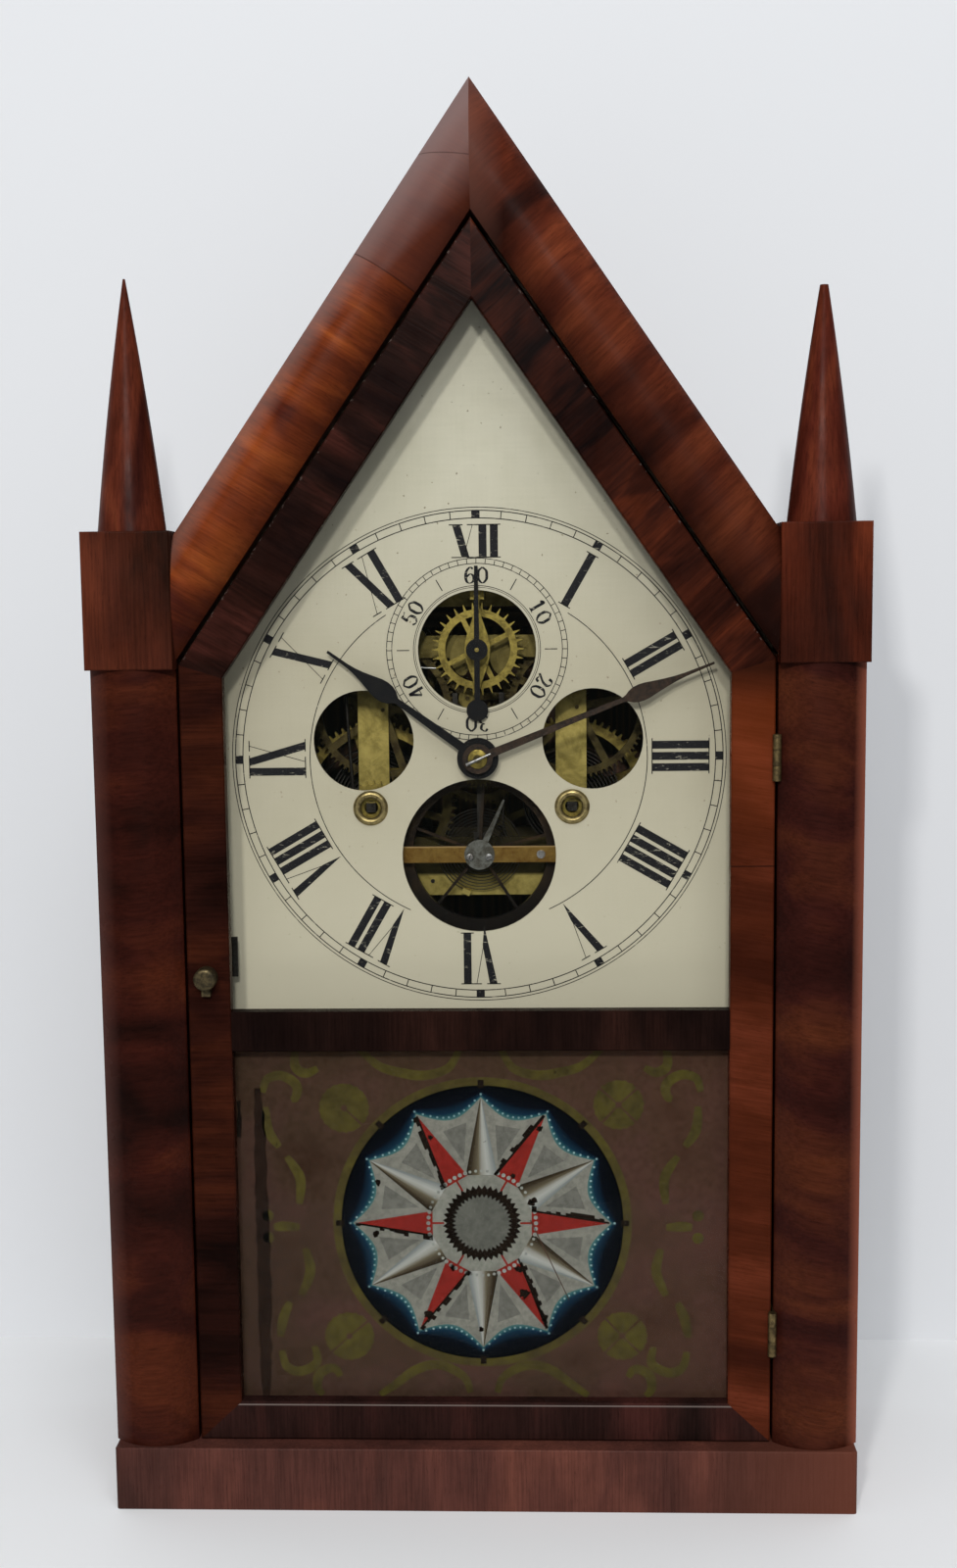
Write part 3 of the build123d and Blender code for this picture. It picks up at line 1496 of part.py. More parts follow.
# Motion work
with BuildPart() as minute_wheel:
    wheel(
        minute_at, minute_teeth, cannon_module, minute_phase, minute_wheel_depth,
        minute_wheel_thickness, fine_rim_width, light_spoke_count, minute_phase,
    )
    pinion(
        minute_at, minute_pinion_teeth, hour_module, first_phase, hour_wheel_depth,
        hour_wheel_thickness, motion_overlap,
    )
    minute_back = minute_wheel_depth + minute_wheel_thickness + hub_overlap
    round_bar(minute_at, fine_hub_radius, minute_wheel_depth, minute_back)
    round_bar(minute_at, minute_collar_radius, hour_wheel_depth, minute_wheel_depth)
    bore(minute_at, minute_stud_radius + running_fit, hour_wheel_depth, minute_back)
save(minute_wheel.part, "minute_wheel")
with BuildPart() as hour_wheel:
    wheel(
        centre_at, hour_teeth, hour_module, hour_phase, hour_wheel_depth, hour_wheel_thickness,
        fine_rim_width, light_spoke_count, hour_phase,
    )
    hour_back = hour_wheel_depth + hour_wheel_thickness
    round_bar(centre_at, hour_pipe_radius, hour_hand_depth - hour_pipe_nose, hour_back)
    bore(centre_at, centre_arbor_radius + running_fit, hour_hand_depth - hour_pipe_nose, hour_back)
save(hour_wheel.part, "hour_wheel")


def hand_outline(bearing_from_top, length, stations):
    """Half widths at shares of the length, mirrored about the hand's middle line."""
    angle = right_angle - bearing_from_top
    spots = [(towards(centre_at, angle, share * length), half) for share, half in stations]
    left = [towards(spot, angle + right_angle, half) for spot, half in spots]
    right = [towards(spot, angle - right_angle, half) for spot, half in spots]
    return left + right[::-1]


# Hands
with BuildPart() as hour_hand:
    prism(
        hand_outline(hour_hand_bearing, hour_hand_length, hour_hand_stations), hour_hand_depth,
        hour_hand_depth + hand_thickness,
    )
    round_bar(centre_at, hour_boss_radius, hour_hand_depth, hour_hand_depth + hand_thickness)
    bore(centre_at, hour_pipe_radius + hand_fit, hour_hand_depth, hour_hand_depth + hand_thickness)
save(hour_hand.part, "hour_hand")
with BuildPart() as minute_hand:
    prism(
        hand_outline(minute_hand_bearing, minute_hand_length, minute_hand_stations),
        minute_hand_depth,
        minute_hand_depth + hand_thickness,
    )
    round_bar(centre_at, minute_boss_radius, minute_hand_depth, minute_hand_depth + hand_thickness)
    bore(centre_at, centre_tip_radius + hand_fit, minute_hand_depth, minute_hand_depth + hand_thickness)
save(minute_hand.part, "minute_hand")
with BuildPart() as seconds_hand:
    seconds_back = seconds_hand_depth + seconds_hand_thickness
    needle = [
        (-seconds_shaft_width / 2, escape_at[1]),
        (seconds_shaft_width / 2, escape_at[1]),
        (seconds_tip_width / 2, escape_at[1] + seconds_hand_length),
        (-seconds_tip_width / 2, escape_at[1] + seconds_hand_length),
    ]
    prism(needle, seconds_hand_depth, seconds_back)
    tail_end = (0, escape_at[1] - seconds_tail_length)
    bar(escape_at, tail_end, seconds_shaft_width, seconds_hand_depth, seconds_back)
    round_bar(escape_at, seconds_boss_radius, seconds_hand_depth, seconds_back)
    round_bar(tail_end, seconds_tail_radius, seconds_hand_depth, seconds_back)
    bore(escape_at, pivot_radius + hand_fit, seconds_hand_depth, seconds_back)
save(seconds_hand.part, "seconds_hand")

# Strike train
with BuildPart() as pin_wheel:
    wheel(
        pin_at, pin_wheel_teeth, warning_pinion_module, first_phase, pin_wheel_depth,
        wheel_thickness, fine_rim_width, train_spoke_count, first_phase,
    )
    pinion(
        pin_at, great_pinion_teeth, strike_module, strike_pinion_phase, strike_great_depth,
        great_wheel_thickness,
    )
    round_bar(pin_at, pin_disc_radius, pin_disc_depth, pin_disc_depth + wheel_thickness)
    for pin in range(pin_count):
        place = towards(pin_at, pin * 360 / pin_count, pin_circle_radius)
        round_bar(place, pin_radius, pin_disc_depth - pin_length, pin_disc_depth)
    arbor(pin_at)
save(pin_wheel.part, "pin_wheel")
with BuildPart() as count_wheel:
    wheel(
        count_at, count_teeth, count_module, count_phase, count_wheel_depth, wheel_thickness,
        fine_rim_width, light_spoke_count, count_phase,
    )
    bore(count_at, minute_stud_radius + running_fit, count_wheel_depth, count_wheel_depth + wheel_thickness)
save(count_wheel.part, "count_wheel")
with BuildPart() as warning_wheel:
    wheel(
        warning_at, warning_teeth, fly_pinion_module, first_phase, warning_wheel_depth,
        wheel_thickness, fine_rim_width, light_spoke_count, first_phase,
    )
    pinion(
        warning_at, warning_pinion_teeth, warning_pinion_module, warning_pinion_phase,
        pin_wheel_depth, wheel_thickness, shoulder_play,
    )
    arbor(warning_at)
save(warning_wheel.part, "warning_wheel")
with BuildPart() as fly:
    pinion(
        fly_at, fly_pinion_teeth, fly_pinion_module, fly_pinion_phase, warning_wheel_depth,
        wheel_thickness,
    )
    block(
        fly_at, 2 * fly_blade_radius, fly_blade_thickness, fly_blade_depth,
        fly_blade_depth + fly_blade_length,
    )
    arbor(fly_at)
save(fly.part, "fly")

# Hammer on its arbor: a tail up to the pins, a wire down to the head beside the gong
with BuildPart() as hammer:
    tail_tip = towards(
        pin_at, hammer_tail_bearing,
        pin_circle_radius + pin_radius + hammer_tail_gap + hammer_tail_width / 2,
    )
    tail_back = hammer_tail_depth + hammer_tail_thickness
    bar(hammer_at, tail_tip, hammer_tail_width, hammer_tail_depth, tail_back)
    round_bar(tail_tip, hammer_tail_width / 2, hammer_tail_depth, tail_back)
    round_bar(
        hammer_at, hammer_hub_radius, hammer_tail_depth - hammer_wire_radius,
        tail_back + hammer_wire_radius,
    )
    wire_foot = gong_z - hammer_head_radius / 2
    with BuildSketch(level(wire_foot)):
        with Locations((hammer_at[0], hammer_depth)):
            Circle(hammer_wire_radius)
    extrude(amount=hammer_at[1] - wire_foot)
    head_middle = (hammer_at[0], front_y + hammer_depth, gong_z)
    with BuildSketch(Plane(origin=head_middle, x_dir=(0, 1, 0), z_dir=(1, 0, 0))):
        Circle(hammer_head_radius)
    extrude(amount=hammer_head_length / 2, both=True)
    arbor(hammer_at)
save(hammer.part, "hammer")

# Gong: round wire wound in half turns from the block on its stand
gong_arcs = ribbon_arcs(gong_half_turns, gong_first_radius, gong_pitch, 0, 0)
print("gong least gap", round(least_gap(gong_arcs, 2 * gong_wire_radius), 3))
gong_plane = Plane(origin=(gong_x, front_y + gong_depth, gong_z), x_dir=(1, 0, 0), z_dir=(0, -1, 0))
with BuildPart() as gong:
    with BuildLine(gong_plane):
        for middle, radius, start in gong_arcs:
            CenterArc((middle, 0), radius, start, straight_angle)
    start_plane = Plane(
        origin=gong_plane.from_local_coords((gong_first_radius, 0, 0)), x_dir=(1, 0, 0),
        z_dir=(0, 0, 1),
    )
    with BuildSketch(start_plane):
        Circle(gong_wire_radius)
    sweep()
save(gong.part, "gong")
with BuildPart() as gong_stand:
    stand_front = back_board_depth - gong_stand_thickness
    block((gong_x, gong_z), gong_stand_width, gong_stand_height, stand_front, back_board_depth)
    post_middle = (gong_x + gong_first_radius, gong_z - gong_post_height / 2)
    post_front = gong_depth - gong_wire_radius
    block(post_middle, 2 * gong_post_half_width, gong_post_height, post_front, stand_front)
save(gong_stand.part, "gong_stand")
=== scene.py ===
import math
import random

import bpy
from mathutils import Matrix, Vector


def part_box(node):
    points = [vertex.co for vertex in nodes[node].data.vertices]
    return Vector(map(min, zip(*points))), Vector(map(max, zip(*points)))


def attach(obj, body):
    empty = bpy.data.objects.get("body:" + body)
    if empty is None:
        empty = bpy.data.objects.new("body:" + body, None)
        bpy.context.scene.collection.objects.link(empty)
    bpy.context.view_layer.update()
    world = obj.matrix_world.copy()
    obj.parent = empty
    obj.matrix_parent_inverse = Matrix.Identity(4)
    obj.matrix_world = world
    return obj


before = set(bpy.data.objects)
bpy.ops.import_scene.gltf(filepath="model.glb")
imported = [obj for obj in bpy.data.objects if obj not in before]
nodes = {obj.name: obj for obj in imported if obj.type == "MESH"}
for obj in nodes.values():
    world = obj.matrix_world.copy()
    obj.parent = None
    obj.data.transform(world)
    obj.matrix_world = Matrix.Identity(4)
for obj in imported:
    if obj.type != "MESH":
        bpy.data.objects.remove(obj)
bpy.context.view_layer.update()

# %% [markdown]
# # A two-spire steeple clock
# The clock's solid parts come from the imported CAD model: case, door, movement and hands. This lesson
# dresses them. It paints the dial and the glass tablet, fits the small pieces that are too fine for the
# CAD model, and gives every surface the finish of the real material. All sizes are written in
# millimetres, as a clockmaker would say them, and turned into metres in one place.

MM = 0.001
CASE_HALF_DEPTH = 60.0
FACING_FRONT = (math.radians(90), 0.0, 0.0)


def place(x, depth, z):
    """A point in metres from millimetres: right of the middle, behind the base's front, above the shelf."""
    return Vector((x * MM, (depth - CASE_HALF_DEPTH) * MM, z * MM))


def start():
    """Leaves edit mode and deselects everything, so that an operator acts on the new piece alone."""
    if bpy.context.object and bpy.context.object.mode != "OBJECT":
        bpy.ops.object.mode_set(mode="OBJECT")
    bpy.ops.object.select_all(action="DESELECT")


# %% [markdown]
# ## Colours and shader nodes
# A colour picker shows sRGB values, but a shader wants linear light. One function turns a hex colour into
# the linear values. Another adds a shader node with its settings and links in one call, so a material
# reads as a short list of what is laid over what.


# %% Colour and node helpers
def colour(hex_code):
    """The linear colour of an sRGB hex code such as '8a4a2c'."""
    linear = []
    for start_at in (0, 2, 4):
        value = int(hex_code[start_at:start_at + 2], 16) / 255.0
        linear.append(value / 12.92 if value <= 0.04045 else ((value + 0.055) / 1.055) ** 2.4)
    return (*linear, 1.0)


def add(tree, kind, inputs=None, **settings):
    """Adds a node, sets its properties, and fills each input with a value or another node's output."""
    node = tree.nodes.new(kind)
    for name, value in settings.items():
        setattr(node, name, value)
    for name, value in (inputs or {}).items():
        if isinstance(value, bpy.types.NodeSocket):
            tree.links.new(value, node.inputs[name])
        else:
            node.inputs[name].default_value = value
    return node


def ramp(tree, factor, stops):
    """A colour ramp over a factor; stops are (position, hex code or grey value)."""
    node = add(tree, "ShaderNodeValToRGB", {"Fac": factor})
    elements = node.color_ramp.elements
    elements.remove(elements[-1])
    elements[0].position = stops[0][0]
    for index, (position, value) in enumerate(stops):
        stop = elements.new(position) if index else elements[0]
        stop.color = colour(value) if isinstance(value, str) else (value, value, value, 1.0)
    return node.outputs["Color"]


def mixed(tree, factor, first, second, blend_type="MIX"):
    """Mixes two colours by a factor, each a value or a socket."""
    node = tree.nodes.new("ShaderNodeMix")
    node.data_type = "RGBA"
    node.blend_type = blend_type
    for socket, value in ((node.inputs[0], factor), (node.inputs[6], first), (node.inputs[7], second)):
        if isinstance(value, bpy.types.NodeSocket):
            tree.links.new(value, socket)
        else:
            socket.default_value = value
    return node.outputs[2]


def new_material(name, **constants):
    """A Principled material with constant sockets set, and Object coordinates to draw patterns on."""
    material = bpy.data.materials.new(name)
    material.use_nodes = True
    tree = material.node_tree
    shader = tree.nodes["Principled BSDF"]
    for socket, value in constants.items():
        shader.inputs[socket.replace("_", " ").title().replace("Ior", "IOR")].default_value = value
    coords = add(tree, "ShaderNodeTexCoord").outputs["Object"]
    return material, tree, shader, coords


def stretched(tree, coords, scale, rotation=(0.0, 0.0, 0.0), shift=(0.0, 0.0, 0.0)):
    """Coordinates turned first, then scaled along the turned axes, so a pattern runs along a piece."""
    turned = add(tree, "ShaderNodeMapping", {"Vector": coords, "Rotation": rotation, "Location": shift})
    return add(tree, "ShaderNodeMapping", {"Vector": turned.outputs[0], "Scale": scale}).outputs[0]


def noise(tree, vector, scale, detail=3.0, roughness=0.55, distortion=0.0):
    """A noise factor of the given scale, in cells per metre."""
    return add(tree, "ShaderNodeTexNoise", {
        "Vector": vector, "Scale": scale, "Detail": detail, "Roughness": roughness, "Distortion": distortion,
    }).outputs["Fac"]


# %% [markdown]
# ## The camera
# The photograph was taken from a little above the middle of the clock, looking slightly down, with a long
# lens. The place and tilt were worked out from corners of the case. The picture's centre isn't where the
# lens points, so the sensor is shifted a little.

# %% Camera
IMAGE_WIDTH, IMAGE_HEIGHT = 977, 1600
FOCAL_PIXELS = 1914.96
CENTRE_PIXEL = (472.23, 859.92)
PITCH_DOWN, YAW, ROLL = 0.123534, -0.040996, -0.012321
CAMERA_SPOT = (26.84, -800.0, 402.57)
SENSOR_HEIGHT = 36.0
NEAREST, FARTHEST = 0.05, 20.0

camera_data = bpy.data.cameras.new("camera")
camera = bpy.data.objects.new("camera", camera_data)
bpy.context.scene.collection.objects.link(camera)
bpy.context.scene.camera = camera
camera_data.sensor_fit = "VERTICAL"
camera_data.sensor_height = SENSOR_HEIGHT
camera_data.lens = FOCAL_PIXELS / IMAGE_HEIGHT * SENSOR_HEIGHT
camera_data.shift_x = (IMAGE_WIDTH / 2 - CENTRE_PIXEL[0]) / IMAGE_HEIGHT
camera_data.shift_y = (CENTRE_PIXEL[1] - IMAGE_HEIGHT / 2) / IMAGE_HEIGHT
camera_data.clip_start, camera_data.clip_end = NEAREST, FARTHEST
level_share = math.cos(PITCH_DOWN)
forward = Vector((math.sin(YAW) * level_share, math.cos(YAW) * level_share, -math.sin(PITCH_DOWN)))
level_right = Vector((math.cos(YAW), -math.sin(YAW), 0.0))
level_up = level_right.cross(forward)
right = math.cos(ROLL) * level_right + math.sin(ROLL) * level_up
up = -math.sin(ROLL) * level_right + math.cos(ROLL) * level_up
turn = Matrix((right, up, -forward)).transposed().to_4x4()
camera.matrix_world = Matrix.Translation(place(*CAMERA_SPOT)) @ turn
print("camera lens", round(camera_data.lens, 2), "mm")

# %% [markdown]
# ## Floor, backdrop and light
# The clock stands on a pale table close to a pale wall. Soft light falls from the upper left, with a
# weaker one from the right, so each hand throws two soft shadows. The lamps are set at a plain level: a
# colour renders about as it is written.


# %% Studio
def matte(name, hex_code):
    """A matte paint for the room, with a faint unevenness."""
    material, tree, shader, coords = new_material(name, roughness=0.85)
    wash = ramp(tree, noise(tree, coords, 1.6, 2.0), [(0.3, 0.97), (0.7, 1.0)])
    tree.links.new(mixed(tree, 1.0, colour(hex_code), wash, "MULTIPLY"), shader.inputs["Base Color"])
    return material


def one_sided(material):
    """Makes a wall see-through from behind, so that the clock's back can be looked at too."""
    tree = material.node_tree
    behind = add(tree, "ShaderNodeNewGeometry").outputs["Backfacing"]
    clear = add(tree, "ShaderNodeBsdfTransparent").outputs[0]
    painted = tree.nodes["Principled BSDF"].outputs[0]
    seen = add(tree, "ShaderNodeMixShader", {0: behind, 1: painted, 2: clear})
    tree.links.new(seen.outputs[0], tree.nodes["Material Output"].inputs["Surface"])
    return material


def sheet(name, spot, rotation, width, height, material):
    """A flat sheet of the room, in metres."""
    start()
    bpy.ops.mesh.primitive_plane_add(size=1.0, location=spot, rotation=rotation)
    piece = bpy.context.object
    piece.name = name
    piece.scale = (width, height, 1.0)
    bpy.ops.object.transform_apply(location=True, rotation=True, scale=True)
    piece.data.materials.append(material)
    return piece


WALL_Y = 0.142
TABLE_REACH = 0.62
ROOM_WIDTH, WALL_HEIGHT = 6.0, 3.0
floor = sheet("table_top", (0.0, WALL_Y - TABLE_REACH / 2, 0.0), (0.0, 0.0, 0.0), ROOM_WIDTH, TABLE_REACH,
              matte("table_paint", "eff0f1"))
backdrop = sheet("wall", (0.0, WALL_Y, WALL_HEIGHT / 2), FACING_FRONT, ROOM_WIDTH, WALL_HEIGHT,
                 one_sided(matte("wall_paint", "dddfe2")))

ROOM_GLOW = 0.36
world = bpy.data.worlds.new("room")
bpy.context.scene.world = world
world.use_nodes = True
glow = world.node_tree.nodes["Background"].inputs
glow["Color"].default_value = (0.80, 0.82, 0.85, 1.0)
glow["Strength"].default_value = ROOM_GLOW


def lamp(name, spot, aim, size, power, tint):
    """A square soft lamp at a spot, aimed at a point, both in metres, with its power in watts."""
    data = bpy.data.lights.new(name, "AREA")
    data.shape = "SQUARE"
    data.size = size
    data.energy = power
    data.color = tint
    data.normalize = True
    lamp_object = bpy.data.objects.new(name, data)
    bpy.context.scene.collection.objects.link(lamp_object)
    lamp_object.location = spot
    lamp_object.rotation_euler = (Vector(aim) - Vector(spot)).to_track_quat("-Z", "Y").to_euler()


DIAL_AIM, CEILING_AIM = (0.0, 0.0, 0.30), (0.0, 0.0, 0.20)
lamp("lamp_left", (-0.30, -1.60, 1.08), DIAL_AIM, 0.11, 10.6, (1.0, 0.98, 0.95))
lamp("lamp_above", (0.05, -1.60, 0.98), DIAL_AIM, 0.11, 9.0, (1.0, 0.99, 0.97))
lamp("lamp_ceiling", (0.3, -1.6, 2.4), CEILING_AIM, 1.6, 24.0, (0.95, 0.97, 1.0))
bpy.context.scene.view_settings.view_transform = "Standard"
print("room:", floor.name, "and", backdrop.name)

# %% [markdown]
# ## Washes along a line
# Old pieces change colour near an edge, past a joint or along a seam. Other washes are painted shade and
# painted highlights. A wash is laid along a line in the plane of the clock's front. Its amount fades from
# one value to another between two distances from that line. A broken wash shows only in small spots, as
# chips along an edge do.


# %% Washes
CHIP_SPOTS = 420.0  # noise cells per metre: chips about 2.4 mm apart


def sum_up(tree, operation, *values):
    """One step of arithmetic on values or sockets."""
    return add(tree, "ShaderNodeMath", dict(enumerate(values)), operation=operation).outputs[0]


def washed(tree, coords, base, washes, broken=False):
    """Lays colours over a base; each is ((a, b), line mm, near mm, far mm, amount near, amount far, hex).

    The line is where a * x + b * z equals its place, and the two distances are measured in that same sum.
    """
    axes = add(tree, "ShaderNodeSeparateXYZ", {0: coords})
    for (along_x, along_z), line, near, far, first, last, hex_code in washes:
        height = sum_up(tree, "MULTIPLY_ADD", axes.outputs["Z"], along_z, -line * MM)
        off = sum_up(tree, "MULTIPLY_ADD", axes.outputs["X"], along_x, height)
        amount = add(tree, "ShaderNodeMapRange", {
            "Value": sum_up(tree, "ABSOLUTE", off), "From Min": near * MM, "From Max": far * MM,
            "To Min": first, "To Max": last}).outputs[0]
        if broken:
            spots = noise(tree, coords, CHIP_SPOTS, 3.0, 0.7)
            chipped = ramp(tree, spots, [(0.60, 0.0), (0.63, 1.0)])
            amount = sum_up(tree, "MULTIPLY", amount, chipped)
        base = mixed(tree, amount, base, colour(hex_code))
    return base


# %% [markdown]
# ## Shellacked mahogany veneer
# The case is covered with crotch mahogany: dark red-brown, with soft darker bands where the grain curls,
# fine pores, and an old shellac polish that gives a soft gloss. On these cases the veneer lies across
# each member, so the grain runs along its short side. One function draws it for any grain direction.

# %% Veneer
ALONG_Z = (0.0, 0.0, 0.0)
ACROSS_X = (0.0, math.radians(90), 0.0)
GABLE = math.radians(55.2)

# Noise cells per metre, each from the real size beside it
PLUME = 12.0  # a flame of the crotch figure, about 80 mm long
FIBRE = 900.0  # 1.1 mm apart, coarser than the real fibres so that they show
PORE = 2300.0  # 0.4 mm, coarser than the real tenth of a millimetre so that they show
GRIME_PATCH = 34.0  # dust and grime that old polish holds, in patches of 30 mm
SMEAR = 60.0  # smears of a polishing cloth, 17 mm wide
SWELL = 28.0  # the slow unevenness of a hand-planed board, 36 mm


def veneer(name, rotation, shift, dark, middle, light, band_mm=26.0, gloss=0.26, shine=0.03, washes=(),
           chips=(), bent=1.0):
    """Mahogany whose grain runs along the turned Z axis, with washes and broken washes laid over it.

    A low bent value keeps the figure together over a curved front, as in veneer bent round a moulding.
    """
    def drawn(cells, along, *rest):
        return noise(tree, stretched(tree, coords, (1.0, bent, along), rotation, shift), cells, *rest)

    material, tree, shader, coords = new_material(name, specular_ior_level=shine)
    curl = drawn(1000.0 / band_mm, 0.24, 3.0, 0.55, 0.7)
    plume = drawn(PLUME, 0.3, 2.0, 0.5, 1.2)
    fibre = drawn(FIBRE, 0.035, 3.0, 0.6, 0.3)
    tone = sum_up(tree, "MULTIPLY", sum_up(tree, "ADD", curl, plume), 0.5)
    figure = ramp(tree, tone, [(0.38, dark), (0.50, middle), (0.62, light)])
    lines = ramp(tree, fibre, [(0.35, 0.66), (0.62, 1.12)])
    base = mixed(tree, 0.75, figure, lines, "MULTIPLY")
    pores = ramp(tree, drawn(PORE, 0.09, 1.0, 0.5), [(0.30, 0.55), (0.37, 1.0)])
    base = mixed(tree, 0.6, base, pores, "MULTIPLY")
    grime = ramp(tree, noise(tree, coords, GRIME_PATCH, 4.0, 0.65), [(0.42, 1.0), (0.70, 0.62)])
    base = mixed(tree, 0.6, base, grime, "MULTIPLY")
    base = washed(tree, coords, base, washes)
    base = washed(tree, coords, base, chips, True)
    tree.links.new(base, shader.inputs["Base Color"])
    smear = noise(tree, coords, SMEAR, 3.0, 0.6)
    polish = ramp(tree, smear, [(0.3, gloss - 0.05), (0.7, gloss + 0.14)])
    tree.links.new(polish, shader.inputs["Roughness"])
    bump = add(tree, "ShaderNodeBump", {"Strength": 0.12, "Distance": 0.3 * MM, "Height": fibre})
    wave = add(tree, "ShaderNodeBump", {
        "Strength": 0.25, "Distance": 1.2 * MM, "Height": noise(tree, coords, SWELL, 2.0),
        "Normal": bump.outputs[0]})
    tree.links.new(wave.outputs[0], shader.inputs["Normal"])
    return material


def dress(names, material):
    """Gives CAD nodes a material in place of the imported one."""
    for name in names.split():
        slots = nodes[name].data.materials
        if not slots:
            slots.append(material)
        for index in range(len(slots)):
            slots[index] = material
    print("dressed", names, "in", material.name)


# %% [markdown]
# Each member has its own cut of veneer, so each has its own tones, read off the photograph. Painted shade
# darkens the inner edges of the gable mouldings. Painted highlights lighten the columns' outer edges, the
# mouldings near the peak and the bottom rail's inner edge. Chips of wear show along the door's gable rails.
# The right moulding darkens towards its foot, and two seams cross the left moulding.

# %% Veneer on the case and the door
LEFT_CROSS = (0.0, GABLE + math.radians(4), 0.0)
RIGHT_CROSS = (0.0, -GABLE + math.radians(7), 0.0)
GABLE_RISE = 1.4388
LEFT_EDGE = (-GABLE_RISE, 1.0)
RIGHT_EDGE = (GABLE_RISE, 1.0)
LOWER_SEAM, UPPER_SEAM = (0.654, 1.0), (0.111, 1.0)
UPRIGHT = (0.0, 1.0)
SIDEWAYS = (1.0, 0.0)
PEAK = 622.0
MOULDING_ACROSS = 53.3
DOOR_PEAK = 565.3
# The first colour is a dark brown laid as painted shade on the mouldings' inner edges, and on the right
# moulding's lower part.
DEEP_BROWN, SEAM, CHIP = "180a07", "1c0d08", "7d6f68"

# Painted highlights: each column's outer edge is lightened as a painted sheen.
dress("left_column", veneer(
    "left_column_mahogany", (0.0, 1.66, 0.0), (0.3, 0.1, 0.2), "190a07", "31130d", "482012", 34.0,
    washes=((SIDEWAYS, -166.5, 0.0, 8.0, 0.4, 0.0, "5b3a33"),)))
dress("right_column", veneer(
    "right_column_mahogany", (0.0, 1.38, 0.0), (0.7, 0.5, 0.9), "1c0b09", "331510", "4d2515", 38.0,
    washes=((SIDEWAYS, 167.8, 0.0, 6.0, 0.85, 0.0, "8a4c39"),)))
dress("left_cap_block", veneer(
    "left_cap_mahogany", ALONG_Z, (0.2, 0.8, 0.3), "25120b", "421e13", "632f1d", 30.0))
dress("right_cap_block", veneer(
    "right_cap_mahogany", ALONG_Z, (1.2, 0.3, 0.6), "27110b", "451c10", "692e1a", 26.0))
dress("left_gable_moulding", veneer(
    "left_moulding_mahogany", LEFT_CROSS, (0.4, 0.4, 0.1), "4a1d12", "783619", "9a4e22", 22.0, 0.34, 0.03,
    bent=0.15, washes=(
        # Painted shade: darker towards the inner edge.
        (LEFT_EDGE, PEAK, 12.0, MOULDING_ACROSS, 0.0, 0.62, DEEP_BROWN),
        (LOWER_SEAM, 700.0, 180.3, 180.5, 0.66, 0.0, "44221a"),
        # Painted highlights: a sheen along the outer edge, and a broad one near the peak.
        (LEFT_EDGE, PEAK, 1.0, 16.0, 0.32, 0.0, "755248"),
        (LEFT_EDGE, PEAK - 5.0, 1.0, 13.0, 0.20, 0.0, "8f7870"),
        ((-0.9, 1.0), 615.0, 4.0, 42.0, 0.75, 0.0, "7c6866"),
        (LOWER_SEAM, 519.6, 0.30, 0.36, 0.6, 0.0, SEAM),
        (UPPER_SEAM, 588.8, 0.22, 0.28, 0.45, 0.0, SEAM))))
dress("right_gable_moulding", veneer(
    "right_moulding_mahogany", RIGHT_CROSS, (0.9, 0.2, 0.7), "28110c", "532416", "793b23", 24.0, 0.34, 0.02,
    bent=0.15, washes=(
        # Painted shade: darker towards the inner edge.
        (RIGHT_EDGE, PEAK, 12.0, MOULDING_ACROSS, 0.0, 0.55, DEEP_BROWN),
        # Darker towards the bottom.
        (UPRIGHT, 590.0, 30.0, 180.0, 0.0, 0.56, DEEP_BROWN),
        # Painted highlight near the peak.
        (SIDEWAYS, 0.0, 0.0, 14.0, 0.5, 0.0, "6a463c"))))
dress("door_left_stile", veneer(
    "left_stile_mahogany", ACROSS_X, (0.5, 1.1, 0.4), "120705", "250f0a", "39190e", 20.0, 0.24, 0.015))
dress("door_right_stile", veneer(
    "right_stile_mahogany", (0.0, 1.40, 0.0), (0.1, 0.9, 1.4), "240e0a", "3f1b10", "5d2b1c", 26.0, 0.24,
    0.015, washes=(
        (UPRIGHT, 400.0, 60.0, 109.2, 0.30, 0.08, "7e3713"),
        (UPRIGHT, 380.0, 4.0, 20.0, 0.8, 0.0, "1a0c08"),
        (UPRIGHT, 290.8, 0.25, 0.31, 0.8, 0.0, SEAM))))
dress("door_left_gable_rail", veneer(
    "left_rail_mahogany", LEFT_CROSS, (1.7, 0.6, 0.2), "0b0505", "20100c", "40201a", 16.0, 0.24, 0.012,
    chips=((LEFT_EDGE, DOOR_PEAK, 0.0, 1.9, 0.5, 0.0, CHIP),)))
dress("door_right_gable_rail", veneer(
    "right_rail_mahogany", RIGHT_CROSS, (0.2, 1.6, 1.2), "0f0605", "33160e", "5f2a17", 16.0, 0.24, 0.012,
    chips=((RIGHT_EDGE, DOOR_PEAK, 0.0, 1.9, 0.5, 0.0, CHIP),)))
dress("door_mid_rail", veneer(
    "mid_rail_mahogany", ALONG_Z, (0.8, 0.1, 1.9), "100908", "1c100d", "2a1813", 28.0, 0.24, 0.012))
dress("door_bottom_rail", veneer(
    "bottom_rail_mahogany", ALONG_Z, (1.8, 0.7, 0.4), "1b110f", "2b1916", "3e211d", 28.0, 0.24, 0.012,
    # Painted highlight: a pale line along the rail's inner edge.
    washes=((UPRIGHT, 45.9, 0.25, 0.45, 0.5, 0.0, "857973"),)))
dress("base", veneer(
    "base_mahogany", ALONG_Z, (2.1, 0.4, 0.5), "3e2621", "523029", "683d32", 36.0, 0.32, 0.05,
    washes=((SIDEWAYS, 170.0, 0.0, 90.0, 0.5, 0.0, "74402f"),)))
dress("left_spire", veneer(
    "left_spire_mahogany", ALONG_Z, (0.6, 2.2, 0.9), "35150f", "5d2a1b", "7b4127", 18.0, 0.3, 0.03))
